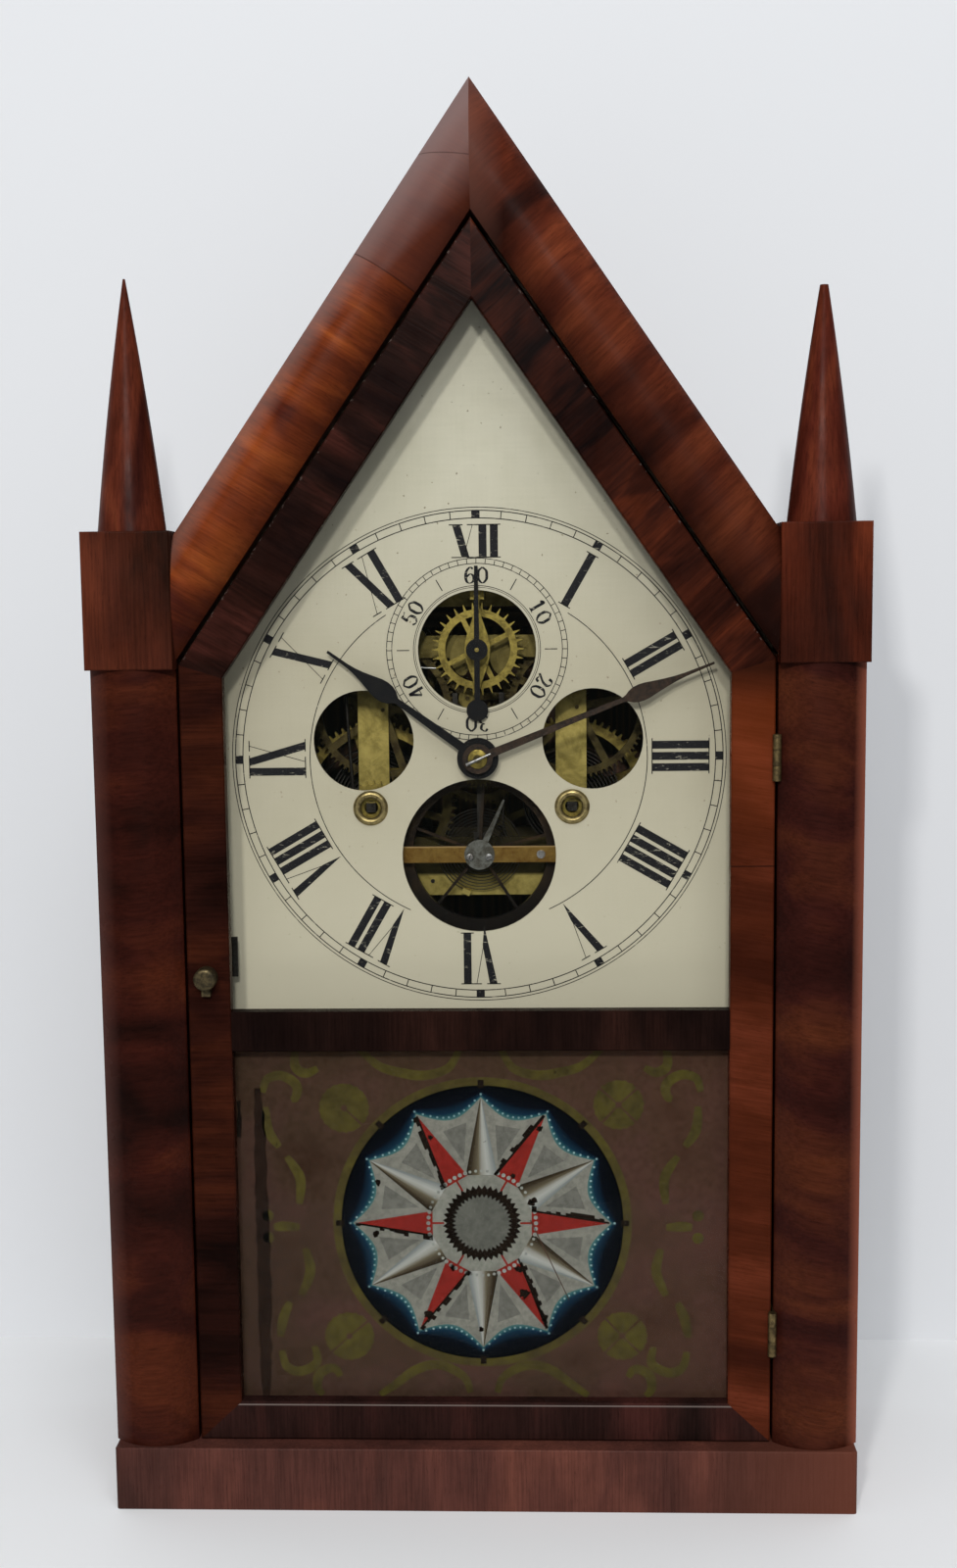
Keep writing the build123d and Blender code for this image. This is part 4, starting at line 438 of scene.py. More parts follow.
dress("right_spire", veneer(
    "right_spire_mahogany", ALONG_Z, (1.6, 0.2, 1.9), "2d110b", "4d1f15", "67301d", 18.0, 0.3, 0.025))
dress("side_boards left_roof_board right_roof_board", veneer(
    "side_mahogany", ALONG_Z, (1.5, 1.5, 1.1), "2d130b", "4a2113", "67341d", 60.0, 0.42))

# %% [markdown]
# ## Plain pine inside
# The back board, the dial's cleats and the rails that carry the movement are unpolished softwood, browned by
# age, with a coarse straight grain.


# %% Pine
LATE_WOOD = 38.0  # a wave's scale that puts the dark lines about 4 mm apart
DIRT = 18.0  # noise cells per metre: stains of 55 mm


def pine(name, rotation):
    """Old bare softwood with darker late-wood lines about 4 mm apart."""
    material, tree, shader, coords = new_material(name, roughness=0.75, specular_ior_level=0.3)
    rings = add(tree, "ShaderNodeTexWave", {
        "Vector": stretched(tree, coords, (1.0, 1.0, 0.06), rotation), "Scale": LATE_WOOD, "Distortion": 5.0,
        "Detail": 2.0, "Detail Scale": 1.2}, wave_type="BANDS", bands_direction="X").outputs["Fac"]
    base = ramp(tree, rings, [(0.0, "3a2516"), (0.6, "50351f"), (1.0, "28180e")])
    dirt = ramp(tree, noise(tree, coords, DIRT, 4.0, 0.6), [(0.3, 0.55), (0.7, 1.0)])
    tree.links.new(mixed(tree, 0.8, base, dirt, "MULTIPLY"), shader.inputs["Base Color"])
    bump = add(tree, "ShaderNodeBump", {"Strength": 0.3, "Distance": 0.4 * MM, "Height": rings})
    tree.links.new(bump.outputs[0], shader.inputs["Normal"])
    return material


dress("back_board dial_cleats", pine("aged_pine_upright", ALONG_Z))
dress("movement_rails", pine("aged_pine_level", ACROSS_X))

# %% [markdown]
# ## Brass, steel and iron
# Clock plates are rolled brass, stamped and then left to tarnish: yellow where hands or tools have rubbed
# it, and brown-green in the hollows. The screws are bright steel with a little rust, the arbors and the
# pallets are steel darkened as painted shade, and the hands are steel that was blued almost black.


# %% Metals
FILING = 3000.0  # noise cells per metre: file marks 0.3 mm apart


def metal(name, clean, tarnish, rough, spread, spot_mm=6.0, tarnish_at=0.55, metallic=1.0, shine=0.3,
          washes=()):
    """A metal, clean and tarnished in cloudy patches, with fine lines from rolling or filing."""
    material, tree, shader, coords = new_material(name, metallic=metallic, specular_ior_level=shine)
    cloud = noise(tree, coords, 1000.0 / spot_mm, 4.0, 0.65, 0.4)
    base = ramp(tree, cloud, [(tarnish_at - 0.18, clean), (tarnish_at + 0.12, tarnish)])
    tree.links.new(washed(tree, coords, base, washes), shader.inputs["Base Color"])
    polish = ramp(tree, cloud, [(0.3, rough), (0.75, rough + spread)])
    tree.links.new(polish, shader.inputs["Roughness"])
    filing = noise(tree, stretched(tree, coords, (1.0, 1.0, 0.03), ACROSS_X), FILING, 2.0)
    bump = add(tree, "ShaderNodeBump", {"Strength": 0.10, "Distance": 0.2 * MM, "Height": filing})
    tree.links.new(bump.outputs[0], shader.inputs["Normal"])
    return material


# %% [markdown]
# The pieces close behind the dial are the brightest. What lies deeper in the case is darkened as painted
# shade, and so are the plate round the seconds hole and behind the balance, and the great wheels near the
# middle, where the dial and the balance cock shade them.

# %% Metal on the movement, the hands and the fittings
CENTRE_Z, SECONDS_Z, BALANCE_Z = 337.0, 384.9, 292.8
PLATE_SHADE_Z, PLATE_SHADE = 291.0, 8.8
COCK_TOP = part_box("balance_cock")[1][2] / MM
# Painted shadows: the plate darkens round the seconds hole, under the dial's edge, and in a band behind the
# balance, under the cock.
dress("front_plate", metal("rolled_plate_brass", "b0a05a", "766a36", 0.34, 0.20, 9.0, 0.52, 0.9, washes=(
    (UPRIGHT, SECONDS_Z, 20.0, 33.0, 0.70, 0.0, "2a2414"),
    (UPRIGHT, PLATE_SHADE_Z, PLATE_SHADE, PLATE_SHADE + 1.5, 0.9, 0.0, "15120c"))))
# The back plate is brass darkened as painted shade.
dress("back_plate", metal("shade_darkened_back_plate_brass", "3c3620", "262012", 0.45, 0.20, 9.0, 0.52, 0.8))
# Painted shade: the great wheels darken near the middle, behind the dial.
dress("count_wheel time_great_wheel strike_great_wheel hour_wheel minute_wheel", metal(
    "cut_great_wheel_brass", "9c8c48", "574a26", 0.34, 0.18, 5.0, 0.52, 0.9, washes=(
        (SIDEWAYS, 0.0, 24.0, 34.0, 0.85, 0.0, "15120c"),)))
# These wheels lie deep in the case, so their brass is darkened as painted shade.
dress("pin_wheel warning_wheel third_wheel fly intermediate_wheel centre_wheel", metal(
    "deep_train_wheel_brass", "4e4526", "2c2414", 0.40, 0.18, 5.0, 0.52, 0.85))
escape_brass = metal("cut_escape_wheel_brass", "9b8b46", "5d5228", 0.30, 0.18, 4.0, 0.52, 0.95)
dress("escape_wheel escape_bridge", escape_brass)
# Painted highlight: a pale line along the cock's top edge.
dress("balance_cock", metal("orange_cock_brass", "94783d", "64481f", 0.30, 0.18, 7.0, 0.50, 0.95, washes=(
    (UPRIGHT, COCK_TOP, 0.0, 0.7, 0.75, 0.0, "d2b27c"),)))
# Dark brass, with painted shade over its top under the dial's edge, and darker still towards its foot.
dress("balance_wheel", metal("dark_balance_brass", "3a2c1a", "1e160f", 0.40, 0.2, 5.0, 0.48, 0.7, washes=(
    (UPRIGHT, 250.0, 20.0, 36.0, 0.85, 0.0, "0b0908"),
    (UPRIGHT, 335.0, 6.0, 26.0, 0.7, 0.0, "0d0a08"))))
dress("case_hinge_leaves door_hinge_leaves", metal(
    "handled_fitting_brass", "7f6d48", "463b28", 0.36, 0.22, 3.0, 0.50, 0.9))
dress("latch_knob", metal("dull_knob_brass", "62563c", "322c20", 0.42, 0.2, 2.5, 0.50, 0.85))
ring_brass = metal("pressed_ring_brass", "a29262", "645838", 0.32, 0.16, 2.5, 0.54, 0.9)
dress("winding_grommets", ring_brass)
bright_steel = metal("bright_steel", "a4a6a4", "5e564c", 0.28, 0.22, 2.5, 0.55)
dress("wood_screws bridge_screws", bright_steel)
dress("regulator", metal("dull_grey_steel", "74766f", "45433b", 0.38, 0.2, 2.5, 0.5, washes=(
    (UPRIGHT, BALANCE_Z, 10.0, 8.5, 0.45, 0.0, "33322e"),)))
# Steel darkened as painted shade, for the arbors, the pallets and the other parts deep in the case.
dark_steel = metal("shade_darkened_steel", "35332e", "1c1a17", 0.40, 0.2, 3.0, 0.5, 0.8)
dress("time_winding_arbor strike_winding_arbor pallet_lever latch_hook hammer", dark_steel)
black_steel = metal("blued_black_steel", "0e0f12", "171615", 0.42, 0.15, 4.0, 0.55, 0.1, 0.08)
dress("hour_hand seconds_hand", black_steel)
dress("minute_hand", metal("browned_rusty_steel", "201d1a", "3d3026", 0.55, 0.2, 1.6, 0.52, 0.1, 0.08))
dress("mainsprings hairspring gong", metal(
    "oiled_spring_steel", "33312c", "1f1c18", 0.42, 0.2, 4.0, 0.5, 0.8))
dress("gong_stand", metal("cast_iron", "26262a", "3a2a22", 0.6, 0.15, 4.0, 0.6, 0.4))

# %% [markdown]
# ## Glass and the painted dial
# Both panes are thin old glass, so a nearly clear surface with a low alpha stands for them. The dial is a
# zinc sheet painted cream. Age has yellowed it in broad clouds. It is darker and yellower below its top and
# paler towards its foot, and small specks and hair-fine lines from the painter's brush show in the light.

# %% Glass and dial paint
clear_glass = new_material(
    "old_clear_glass", roughness=0.03, alpha=0.035, base_color=colour("20241f"))[0]
dress("dial_glass tablet_glass", clear_glass)

# Noise cells per metre, each from the real size beside it
BRISTLE = 1100.0  # brush lines 0.9 mm apart, coarser than bristles so that they show
AGE = 9.0  # yellowing in clouds of 110 mm
SPECK = 560.0  # specks about 1.8 mm apart, most of them left out
WEAR = 900.0  # chips of paint, 1.1 mm

dial_paint, tree, shader, coords = new_material("cream_dial_paint", roughness=0.55, specular_ior_level=0.15)
brushed = noise(tree, stretched(tree, coords, (0.05, 1.0, 1.0)), BRISTLE, 2.0)
brushed_up = noise(tree, stretched(tree, coords, (1.0, 1.0, 0.05)), BRISTLE, 2.0)
age = noise(tree, coords, AGE, 4.0, 0.6, 0.4)
base = ramp(tree, age, [(0.30, "b9b69f"), (0.55, "c8c5b0"), (0.75, "c0bda8")])
base = mixed(tree, 0.45, base, ramp(tree, brushed, [(0.3, 0.93), (0.7, 1.0)]), "MULTIPLY")
base = mixed(tree, 0.35, base, ramp(tree, brushed_up, [(0.3, 0.92), (0.7, 1.0)]), "MULTIPLY")
specks = ramp(tree, noise(tree, coords, SPECK, 1.0, 0.3), [(0.745, 1.0), (0.775, "6d5a42")])
base = mixed(tree, 0.7, base, specks, "MULTIPLY")
# Darker and yellower below the top, paler towards the foot.
base = washed(tree, coords, base, ((UPRIGHT, 530.0, 60.0, 150.0, 0.0, 0.52, "a2997e"),
                                   (UPRIGHT, 225.0, 10.0, 110.0, 0.55, 0.0, "cbc6ae")))
tree.links.new(base, shader.inputs["Base Color"])
dress("dial_panel", dial_paint)

ink, tree, shader, coords = new_material("black_numeral_paint", roughness=0.6, specular_ior_level=0.1)
chips = noise(tree, stretched(tree, coords, (0.22, 1.0, 1.0)), WEAR, 4.0, 0.7, 0.6)
worn = ramp(tree, chips, [(0.61, "1b1b1d"), (0.65, "8d897a")])
tree.links.new(worn, shader.inputs["Base Color"])

# %% [markdown]
# ## Printing on the dial
# The print is a film of paint a few hundredths of a millimetre thick. Each ring starts as a circle, is
# inset by the line's width, and loses its inner face. Tick marks are short bars, set round the centre at
# even bearings. Numerals are strokes: a thick bar, a hair line and a serif line, turned to their place
# with their feet towards the centre.

# %% Print tools
DIAL_DEPTH = 35.0
PRINT = 0.06
PRINT_DEPTH = DIAL_DEPTH - PRINT
CENTRE = (0.0, CENTRE_Z)
SECONDS = (0.0, SECONDS_Z)


def hand_over(piece, name, material, body):
    """Names a finished piece, gives it its material, and hands it to its body."""
    piece.name = piece.data.name = name
    piece.data.materials.clear()
    piece.data.materials.append(material)
    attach(piece, body)
    print("made", name, "on", body)
    return piece


def finish_flat(name, thickness, material, body):
    """Gives a flat outline its thickness, puts its place into its mesh, and hands it to its body."""
    piece = bpy.context.object
    bpy.ops.object.mode_set(mode="OBJECT")
    bpy.ops.object.transform_apply(location=True, rotation=True, scale=True)
    solid = piece.modifiers.new("thickness", "SOLIDIFY")
    solid.thickness = thickness * MM
    solid.offset = -1.0
    bpy.ops.object.modifier_apply(modifier=solid.name)
    return hand_over(piece, name, material, body)


def flat_mesh(name, outlines, depth, thickness, material, body, across=None):
    """A film of paint from closed outlines in millimetres (x, z), anticlockwise as seen from the front."""
    start()
    vertices, faces = [], []
    for outline in outlines:
        faces.append(tuple(range(len(vertices), len(vertices) + len(outline))))
        vertices += [place(x, depth, z) for x, z in outline]
    mesh = bpy.data.meshes.new(name)
    mesh.from_pydata(vertices, [], faces)
    piece = bpy.data.objects.new(name, mesh)
    bpy.context.scene.collection.objects.link(piece)
    if across:
        uv = mesh.uv_layers.new(name="across")
        for loop, share in zip(uv.data, [share for shares in across for share in shares]):
            loop.uv = (share, 0.5)
    bpy.context.view_layer.objects.active = piece
    piece.select_set(True)
    bpy.ops.object.mode_set(mode="EDIT")
    bpy.ops.mesh.select_all(action="SELECT")
    bpy.ops.mesh.remove_doubles(threshold=0.001 * MM)
    return finish_flat(name, thickness, material, body)


def printed(name, outlines):
    """Black print on the dial."""
    return flat_mesh(name, outlines, PRINT_DEPTH, PRINT, ink, "case")


def ring(name, centre, outer, width, material, depth=PRINT_DEPTH, steps=180):
    """A ring on the case: a circle inset by its width, with the inner face taken out."""
    start()
    bpy.ops.mesh.primitive_circle_add(vertices=steps, radius=outer * MM, fill_type="NGON",
                                      location=place(centre[0], depth, centre[1]), rotation=FACING_FRONT)
    bpy.ops.object.mode_set(mode="EDIT")
    bpy.ops.mesh.select_all(action="SELECT")
    bpy.ops.mesh.inset(thickness=width * MM)
    bpy.ops.mesh.delete(type="FACE")
    return finish_flat(name, PRINT, material, "case")


def ticks(name, centre, inner, outer, width, count, skipped=0):
    """Radial marks round a centre, with one in so many left out if a number is given."""
    bearings = [360.0 / count * index for index in range(count) if not skipped or index % skipped]
    printed(name, [bar_outline(centre, bearing, 0.0, inner, 0.0, outer, width) for bearing in bearings])


def polar(centre, bearing, across, radius):
    """A point at a radius along a bearing (degrees clockwise from the top), moved sideways by across."""
    turn_by = math.radians(bearing)
    x = centre[0] + radius * math.sin(turn_by) + across * math.cos(turn_by)
    z = centre[1] + radius * math.cos(turn_by) - across * math.sin(turn_by)
    return x, z


def bar_outline(centre, bearing, across_in, inner, across_out, outer, width, width_in=None):
    """A straight stroke from an inner point to an outer one, in a frame turned to a bearing."""
    width_in = width if width_in is None else width_in
    corners = (
        (across_in - width_in / 2, inner), (across_in + width_in / 2, inner),
        (across_out + width / 2, outer), (across_out - width / 2, outer),
    )
    return [polar(centre, bearing, across, radius) for across, radius in corners]


# %% Rings and ticks of the minute and seconds tracks
LINE = 0.42
TRACK_IN, TRACK_OUT = 105.5, 108.8
ring("minute_track_inner_line", CENTRE, 105.7, LINE, ink)
ring("minute_track_outer_line", CENTRE, 109.0, LINE, ink)
ring("minute_track_edge_line", CENTRE, 110.3, LINE * 0.8, ink)
ticks("minute_ticks", CENTRE, TRACK_IN, TRACK_OUT, LINE, 60, 5)
ticks("five_minute_blocks", CENTRE, TRACK_IN, TRACK_OUT, 3.7, 12)
ring("seconds_track_outer_line", SECONDS, 40.3, LINE * 0.8, ink)
ring("seconds_track_inner_line", SECONDS, 38.0, LINE * 0.8, ink)
ticks("seconds_ticks", SECONDS, 37.8, 40.2, LINE * 0.8, 60)
ticks("odd_five_seconds_marks", SECONDS, 30.0, 35.6, LINE, 12, 2)
ring("seconds_hole_outer_line", SECONDS, 28.3, LINE * 0.7, ink)
ring("seconds_hole_inner_line", SECONDS, 27.5, LINE * 0.5, ink)

# %% [markdown]
# ## Roman numerals
# The chapters are drawn in old engraved style: bars 3.5 mm wide, hair lines, and long straight serif lines
# at both ends. Four is IIII. The five is a bar that tapers to a point at its foot. XII is cut off by the
# seconds ring and VI by the hole over the balance.

# %% Numerals
FOOT, HEAD = 77.4, 102.6
CUT_FEET = {0: 88.4, 6: 79.3}
BAR, HAIR, SERIF, SERIF_REACH = 3.5, 0.30, 0.46, 1.2
LETTER_WIDTH = {"I": 5.0, "V": 11.5, "X": 11.0}


def numeral_outlines(text, bearing, foot):
    """The strokes of one numeral, centred on its bearing, with its feet towards the dial's centre."""
    outlines, serifs = [], []
    at = -sum(LETTER_WIDTH[letter] for letter in text) / 2
    for letter in text:
        width = LETTER_WIDTH[letter]
        middle = at + width / 2
        if letter == "I":
            outlines.append(bar_outline(CENTRE, bearing, middle, foot, middle, HEAD, BAR))
            for end in (foot, HEAD):
                serifs.append((end, middle - BAR / 2 - SERIF_REACH, middle + BAR / 2 + SERIF_REACH))
        if letter == "X":
            left, right_side = middle - width / 2 + 1.9, middle + width / 2 - 1.9
            slant = (foot - FOOT) / (HEAD - FOOT)
            bar_foot = right_side + (left - right_side) * slant
            hair_foot = left + (right_side - left) * slant
            outlines.append(bar_outline(CENTRE, bearing, bar_foot, foot, left, HEAD, BAR))
            outlines.append(bar_outline(CENTRE, bearing, hair_foot, foot, right_side, HEAD, HAIR))
            serifs += [(HEAD, left - 3.2, left + 2.9), (HEAD, right_side - 2.4, right_side + 2.4),
                       (foot, left - 2.2, left + 2.2), (foot, right_side - 2.6, right_side + 2.9)]
        if letter == "V":
            left, right_side = middle - width / 2 + 2.3, middle + width / 2 - 1.6
            tip, tip_radius, knee = middle + 0.6, FOOT - 1.6, FOOT + 7.5
            knee_across = tip + (left - tip) * (knee - tip_radius) / (HEAD - tip_radius)
            bar = ((tip, tip_radius), (knee_across + BAR * 0.62, knee),
                   (left + BAR / 2, HEAD), (left - BAR / 2, HEAD))
            outlines.append([polar(CENTRE, bearing, across, radius) for across, radius in bar])
            outlines.append(bar_outline(
                CENTRE, bearing, knee_across + BAR * 0.5, knee, right_side, HEAD, HAIR))
            serifs += [(HEAD, left - 3.2, left + 3.0), (HEAD, right_side - 2.2, right_side + 2.2)]
        at += width
    for radius, first, last in serifs:
        outlines.append(bar_outline(CENTRE, bearing, (first + last) / 2, radius - SERIF / 2,
                                    (first + last) / 2, radius + SERIF / 2, last - first))
    return outlines


for hour, text in enumerate(("XII", "I", "II", "III", "IIII", "V", "VI", "VII", "VIII", "IX", "X", "XI")):
    printed("numeral_" + text.lower() + "_at_" + str(hour or 12),
            numeral_outlines(text, 30.0 * hour, CUT_FEET.get(hour, FOOT)))


# %% [markdown]
# The ring inside the numerals is one long arc, broken by the seconds ring at the top and by the balance hole
# at the bottom.

# %% Inner ring
INNER_RING = 75.3


def chain(one_side, other_side):
    """Four-sided faces in a row between the two sides of a line."""
    return [[one_side[i], one_side[i + 1], other_side[i + 1], other_side[i]]
            for i in range(len(one_side) - 1)]


def arc_faces(radius, width, first, last):
    """A curved line round the dial's centre from one bearing to another, in steps of about two degrees."""
    steps = int((last - first) / 2)
    bearings = [first + (last - first) * step / steps for step in range(steps + 1)]
    return chain([polar(CENTRE, bearing, 0.0, radius - width / 2) for bearing in bearings],
                 [polar(CENTRE, bearing, 0.0, radius + width / 2) for bearing in bearings])


printed("inner_ring_line", arc_faces(INNER_RING, LINE * 0.9, 32.3, 155.5)
        + arc_faces(INNER_RING, LINE * 0.9, 204.5, 327.7))

# %% [markdown]
# ## Seconds numerals
# The seconds are written in a broad-pen hand: a stroke is thick where it runs up or down and thin where it
# runs sideways. Each figure is a smooth line through a few points, and its width follows its direction.

# %% Figures drawn with a broad pen
FIGURE_RADIUS, FIGURE_WIDTH, FIGURE_HEIGHT, FIGURE_PITCH = 32.7, 4.3, 6.9, 5.6
THIN, THICK = 0.35, 1.25
FIGURES = {
    "0": [[(0.5, 1.0), (0.12, 0.78), (0.06, 0.5), (0.12, 0.22), (0.5, 0.0), (0.88, 0.22), (0.94, 0.5),
           (0.88, 0.78), (0.5, 1.0)]],
    "1": [[(0.22, 0.80), (0.5, 1.0), (0.5, 0.5), (0.5, 0.02)], [(0.22, 0.0), (0.78, 0.0)]],
    "2": [[(0.14, 0.74), (0.24, 0.96), (0.55, 1.0), (0.84, 0.80), (0.72, 0.50), (0.36, 0.22), (0.08, 0.02)],
          [(0.08, 0.02), (0.45, 0.07), (0.72, 0.0), (0.90, 0.20)]],
    "3": [[(0.14, 0.84), (0.40, 1.0), (0.78, 0.84), (0.70, 0.60), (0.42, 0.53)],
          [(0.42, 0.53), (0.82, 0.44), (0.88, 0.20), (0.50, 0.0), (0.12, 0.14)]],
    "4": [[(0.70, 1.0), (0.70, 0.5), (0.70, 0.0)], [(0.70, 1.0), (0.36, 0.62), (0.04, 0.28)],
          [(0.04, 0.28), (0.92, 0.28)]],
    "5": [[(0.28, 1.0), (0.24, 0.76), (0.20, 0.54)], [(0.28, 0.98), (0.55, 0.94), (0.84, 1.0)],
          [(0.20, 0.54), (0.48, 0.62), (0.84, 0.50), (0.86, 0.18), (0.50, 0.0), (0.12, 0.14)]],
    "6": [[(0.82, 0.90), (0.52, 1.0), (0.16, 0.74), (0.08, 0.36), (0.22, 0.08), (0.52, 0.0), (0.86, 0.14),
           (0.88, 0.42), (0.56, 0.58), (0.18, 0.40)]],
}


def smooth_line(points, steps):
    """Points of a Catmull-Rom curve through the given points."""
    ends_doubled = [points[0]] + points + [points[-1]]
    line = []
    for index in range(len(points) - 1):
        before, first, last, after = (Vector(point) for point in ends_doubled[index:index + 4])
        for step in range(steps):
            t = step / steps
            line.append(0.5 * (2 * first + (last - before) * t
                               + (2 * before - 5 * first + 4 * last - after) * t * t
                               + (3 * first - before - 3 * last + after) * t ** 3))
    line.append(Vector(points[-1]))
    return line


def stroke(line, half_width):
    """Faces along a line; half_width gives half the width from the direction and the share of the way."""
    sides = []
    for index, point in enumerate(line):
        direction = (line[min(index + 1, len(line) - 1)] - line[max(index - 1, 0)]).normalized()
        aside = Vector((-direction.y, direction.x)) * half_width(direction, index / (len(line) - 1))
        sides.append((point - aside, point + aside))
    return chain(*zip(*sides))


def pen_stroke(points):
    """One stroke of a figure, standing on the figure's lower left corner."""
    line = [Vector((across * FIGURE_WIDTH, up * FIGURE_HEIGHT)) for across, up in smooth_line(points, 7)]
    return stroke(line, lambda direction, share: (THIN + (THICK - THIN) * abs(direction.y) ** 1.5) / 2)


for index, text in enumerate(("60", "10", "20", "30", "40", "50")):
    outlines = []
    for number, letter in enumerate(text):
        left = (number - len(text) / 2) * FIGURE_PITCH + (FIGURE_PITCH - FIGURE_WIDTH) / 2
        for face in [face for points in FIGURES[letter] for face in pen_stroke(points)]:
            outlines.append([polar(SECONDS, 60.0 * index, left + corner.x,
                                   FIGURE_RADIUS - FIGURE_HEIGHT / 2 + corner.y) for corner in face])
    printed("seconds_figure_" + text, outlines)

# %% [markdown]
# ## The painted tablet
# The lower pane is painted on its back in layers: a maroon ground, olive-gold stencilled scrolls, and a
# round medallion with a twelve-pointed star. The layers lie just behind the glass, the first painted
# nearest to it.

# %% Tablet paints
TABLET_DEPTH, LAYER, FILM = 18.0, 0.05, 0.03
# Noise cells per metre, each from the real size beside it
DUST = 420.0  # dust behind the glass, in specks 2.4 mm apart
FLAKING = 330.0  # lost flakes of paint, 3 mm


def tones(*codes):
    """Stops for two or three tones of one paint."""
    return [(0.3 + 0.4 * index / (len(codes) - 1), code) for index, code in enumerate(codes)]


def tablet_paint(name, stops, patch_mm, loss=0.0, gradient=False, washes=()):
    """Paint behind glass: cloudy, or changing across the stroke, with flaked spots that show black."""
    material, tree, shader, coords = new_material(name, roughness=0.8, specular_ior_level=0.0)
    cloud = noise(tree, coords, 1000.0 / patch_mm, 4.0, 0.6, 0.3)
    if gradient:
        uv = add(tree, "ShaderNodeUVMap", uv_map="across").outputs[0]
        across = add(tree, "ShaderNodeSeparateXYZ", {0: uv}).outputs["X"]
        haze = ramp(tree, cloud, [(0.3, 0.75), (0.7, 1.0)])
        base = mixed(tree, 0.25, ramp(tree, across, stops), haze, "MULTIPLY")
    else:
        dust = ramp(tree, noise(tree, coords, DUST, 3.0, 0.65), [(0.35, 0.62), (0.6, 1.12)])
        base = washed(tree, coords, ramp(tree, cloud, stops), washes)
        base = mixed(tree, 0.5, base, dust, "MULTIPLY")
    if loss:
        flakes = noise(tree, coords, FLAKING, 5.0, 0.7, 1.2)
        bare = ramp(tree, flakes, [(0.74 - loss, 0.0), (0.755 - loss, 1.0)])
        base = mixed(tree, bare, base, colour("1c1511"))
    tree.links.new(base, shader.inputs["Base Color"])
    return material


maroon = tablet_paint(
    "maroon_tablet_ground",
    [(0.25, "36251c"), (0.45, "403025"), (0.60, "46322a"), (0.78, "4b3128")],
    34.0, 0.03, washes=(
        (UPRIGHT, 212.0, 0.0, 50.0, 0.25, 0.0, "3e311c"),
        (SIDEWAYS, 115.0, 0.0, 90.0, 0.35, 0.0, "4f3128"),
        (SIDEWAYS, -115.0, 20.0, 60.0, 0.30, 0.0, "2b1e16")))
olive_gold = tablet_paint("olive_gold_stencil", tones("4c461f", "453e20", "39321d"), 9.0, 0.09)
star_red = tablet_paint("red_star_points", tones("7f251f", "70211c"), 10.0, 0.05)
star_black = tablet_paint("black_star_edges", tones("15100d", "1e1712"), 5.0)


def tablet_film(name, outlines, number, material, across=None):
    """A layer of the tablet's painting, counted back from the glass, riding on the door."""
    return flat_mesh(name, outlines, TABLET_DEPTH + LAYER * number, FILM, material, "door",
                     across)


# %% [markdown]
# ## The tablet's ground and scrolls
# The ground is one brushed sheet over the whole pane. Scrolls were stencilled through cut paper: each is a
# bent leaf that swells in the middle and thins to its ends. The right half mirrors the left half.

# %% Ground and stencils
def millimetres(corner):
    """A corner in metres as (x, depth, z) in millimetres."""
    return corner[0] / MM, corner[1] / MM + CASE_HALF_DEPTH, corner[2] / MM


def disc(centre, radius, step):
    """A round outline with a corner at every so many degrees."""
    return [polar(centre, -turned, 0.0, radius) for turned in range(0, 360, step)]


BARE_EDGE = 0.4
low, high = (millimetres(corner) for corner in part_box("tablet_glass"))
left_edge, right_edge = low[0] + BARE_EDGE, high[0] - BARE_EDGE
foot_edge, head_edge = low[2] + BARE_EDGE, high[2] - BARE_EDGE
ground = [(left_edge, foot_edge), (right_edge, foot_edge), (right_edge, head_edge), (left_edge, head_edge)]
tablet_film("tablet_ground", [ground], 6, maroon)

SCROLL_WIDTH = 4.5
SCROLLS = (
    ((-82.6, 209.5), (-83.1, 200.6), (-78.3, 197.3), (-73.0, 199.5)),
    ((-98.0, 188.5), (-95.9, 194.6), (-89.0, 196.2), (-82.7, 191.8), (-83.1, 186.3), (-85.3, 185.2)),
    ((-96.9, 181.8), (-95.9, 170.9), (-91.1, 163.4)),
    ((-87.9, 158.9), (-82.0, 149.0), (-82.6, 136.9)),
    ((-94.4, 126.0), (-90.0, 126.4), (-82.7, 126.0)),
    ((-80.4, 116.1), (-78.3, 105.2), (-82.7, 94.1)),
    ((-87.9, 90.8), (-91.1, 83.2), (-92.7, 74.4)),
    ((-92.2, 67.8), (-90.0, 60.1), (-83.6, 57.9), (-76.2, 62.3), (-77.2, 70.0)),
    ((-65.6, 55.7), (-68.8, 59.6), (-75.1, 56.8), (-76.2, 50.3), (-73.6, 46.8)),
    ((-55.0, 209.3), (-45.4, 200.6), (-34.8, 197.3), (-25.2, 196.2), (-14.5, 199.5), (-9.2, 208.2)),
    ((-47.5, 46.9), (-41.1, 51.3), (-30.5, 59.0), (-19.9, 61.2), (-9.2, 55.7), (-6.1, 48.1)),
)
scroll_faces = []
for mirror in (1, -1):
    for points in SCROLLS:
        line = smooth_line([(mirror * x, z) for x, z in points], 6)
        scroll_faces += stroke(line, lambda direction, share: SCROLL_WIDTH / 2 * (
            0.6 + 0.4 * math.sin(math.pi * share)))
    scroll_faces += [disc((mirror * 97.0, z), 2.6, 18) for z in (131.4, 121.0)]
tablet_film("stencilled_scrolls", scroll_faces, 5, olive_gold)

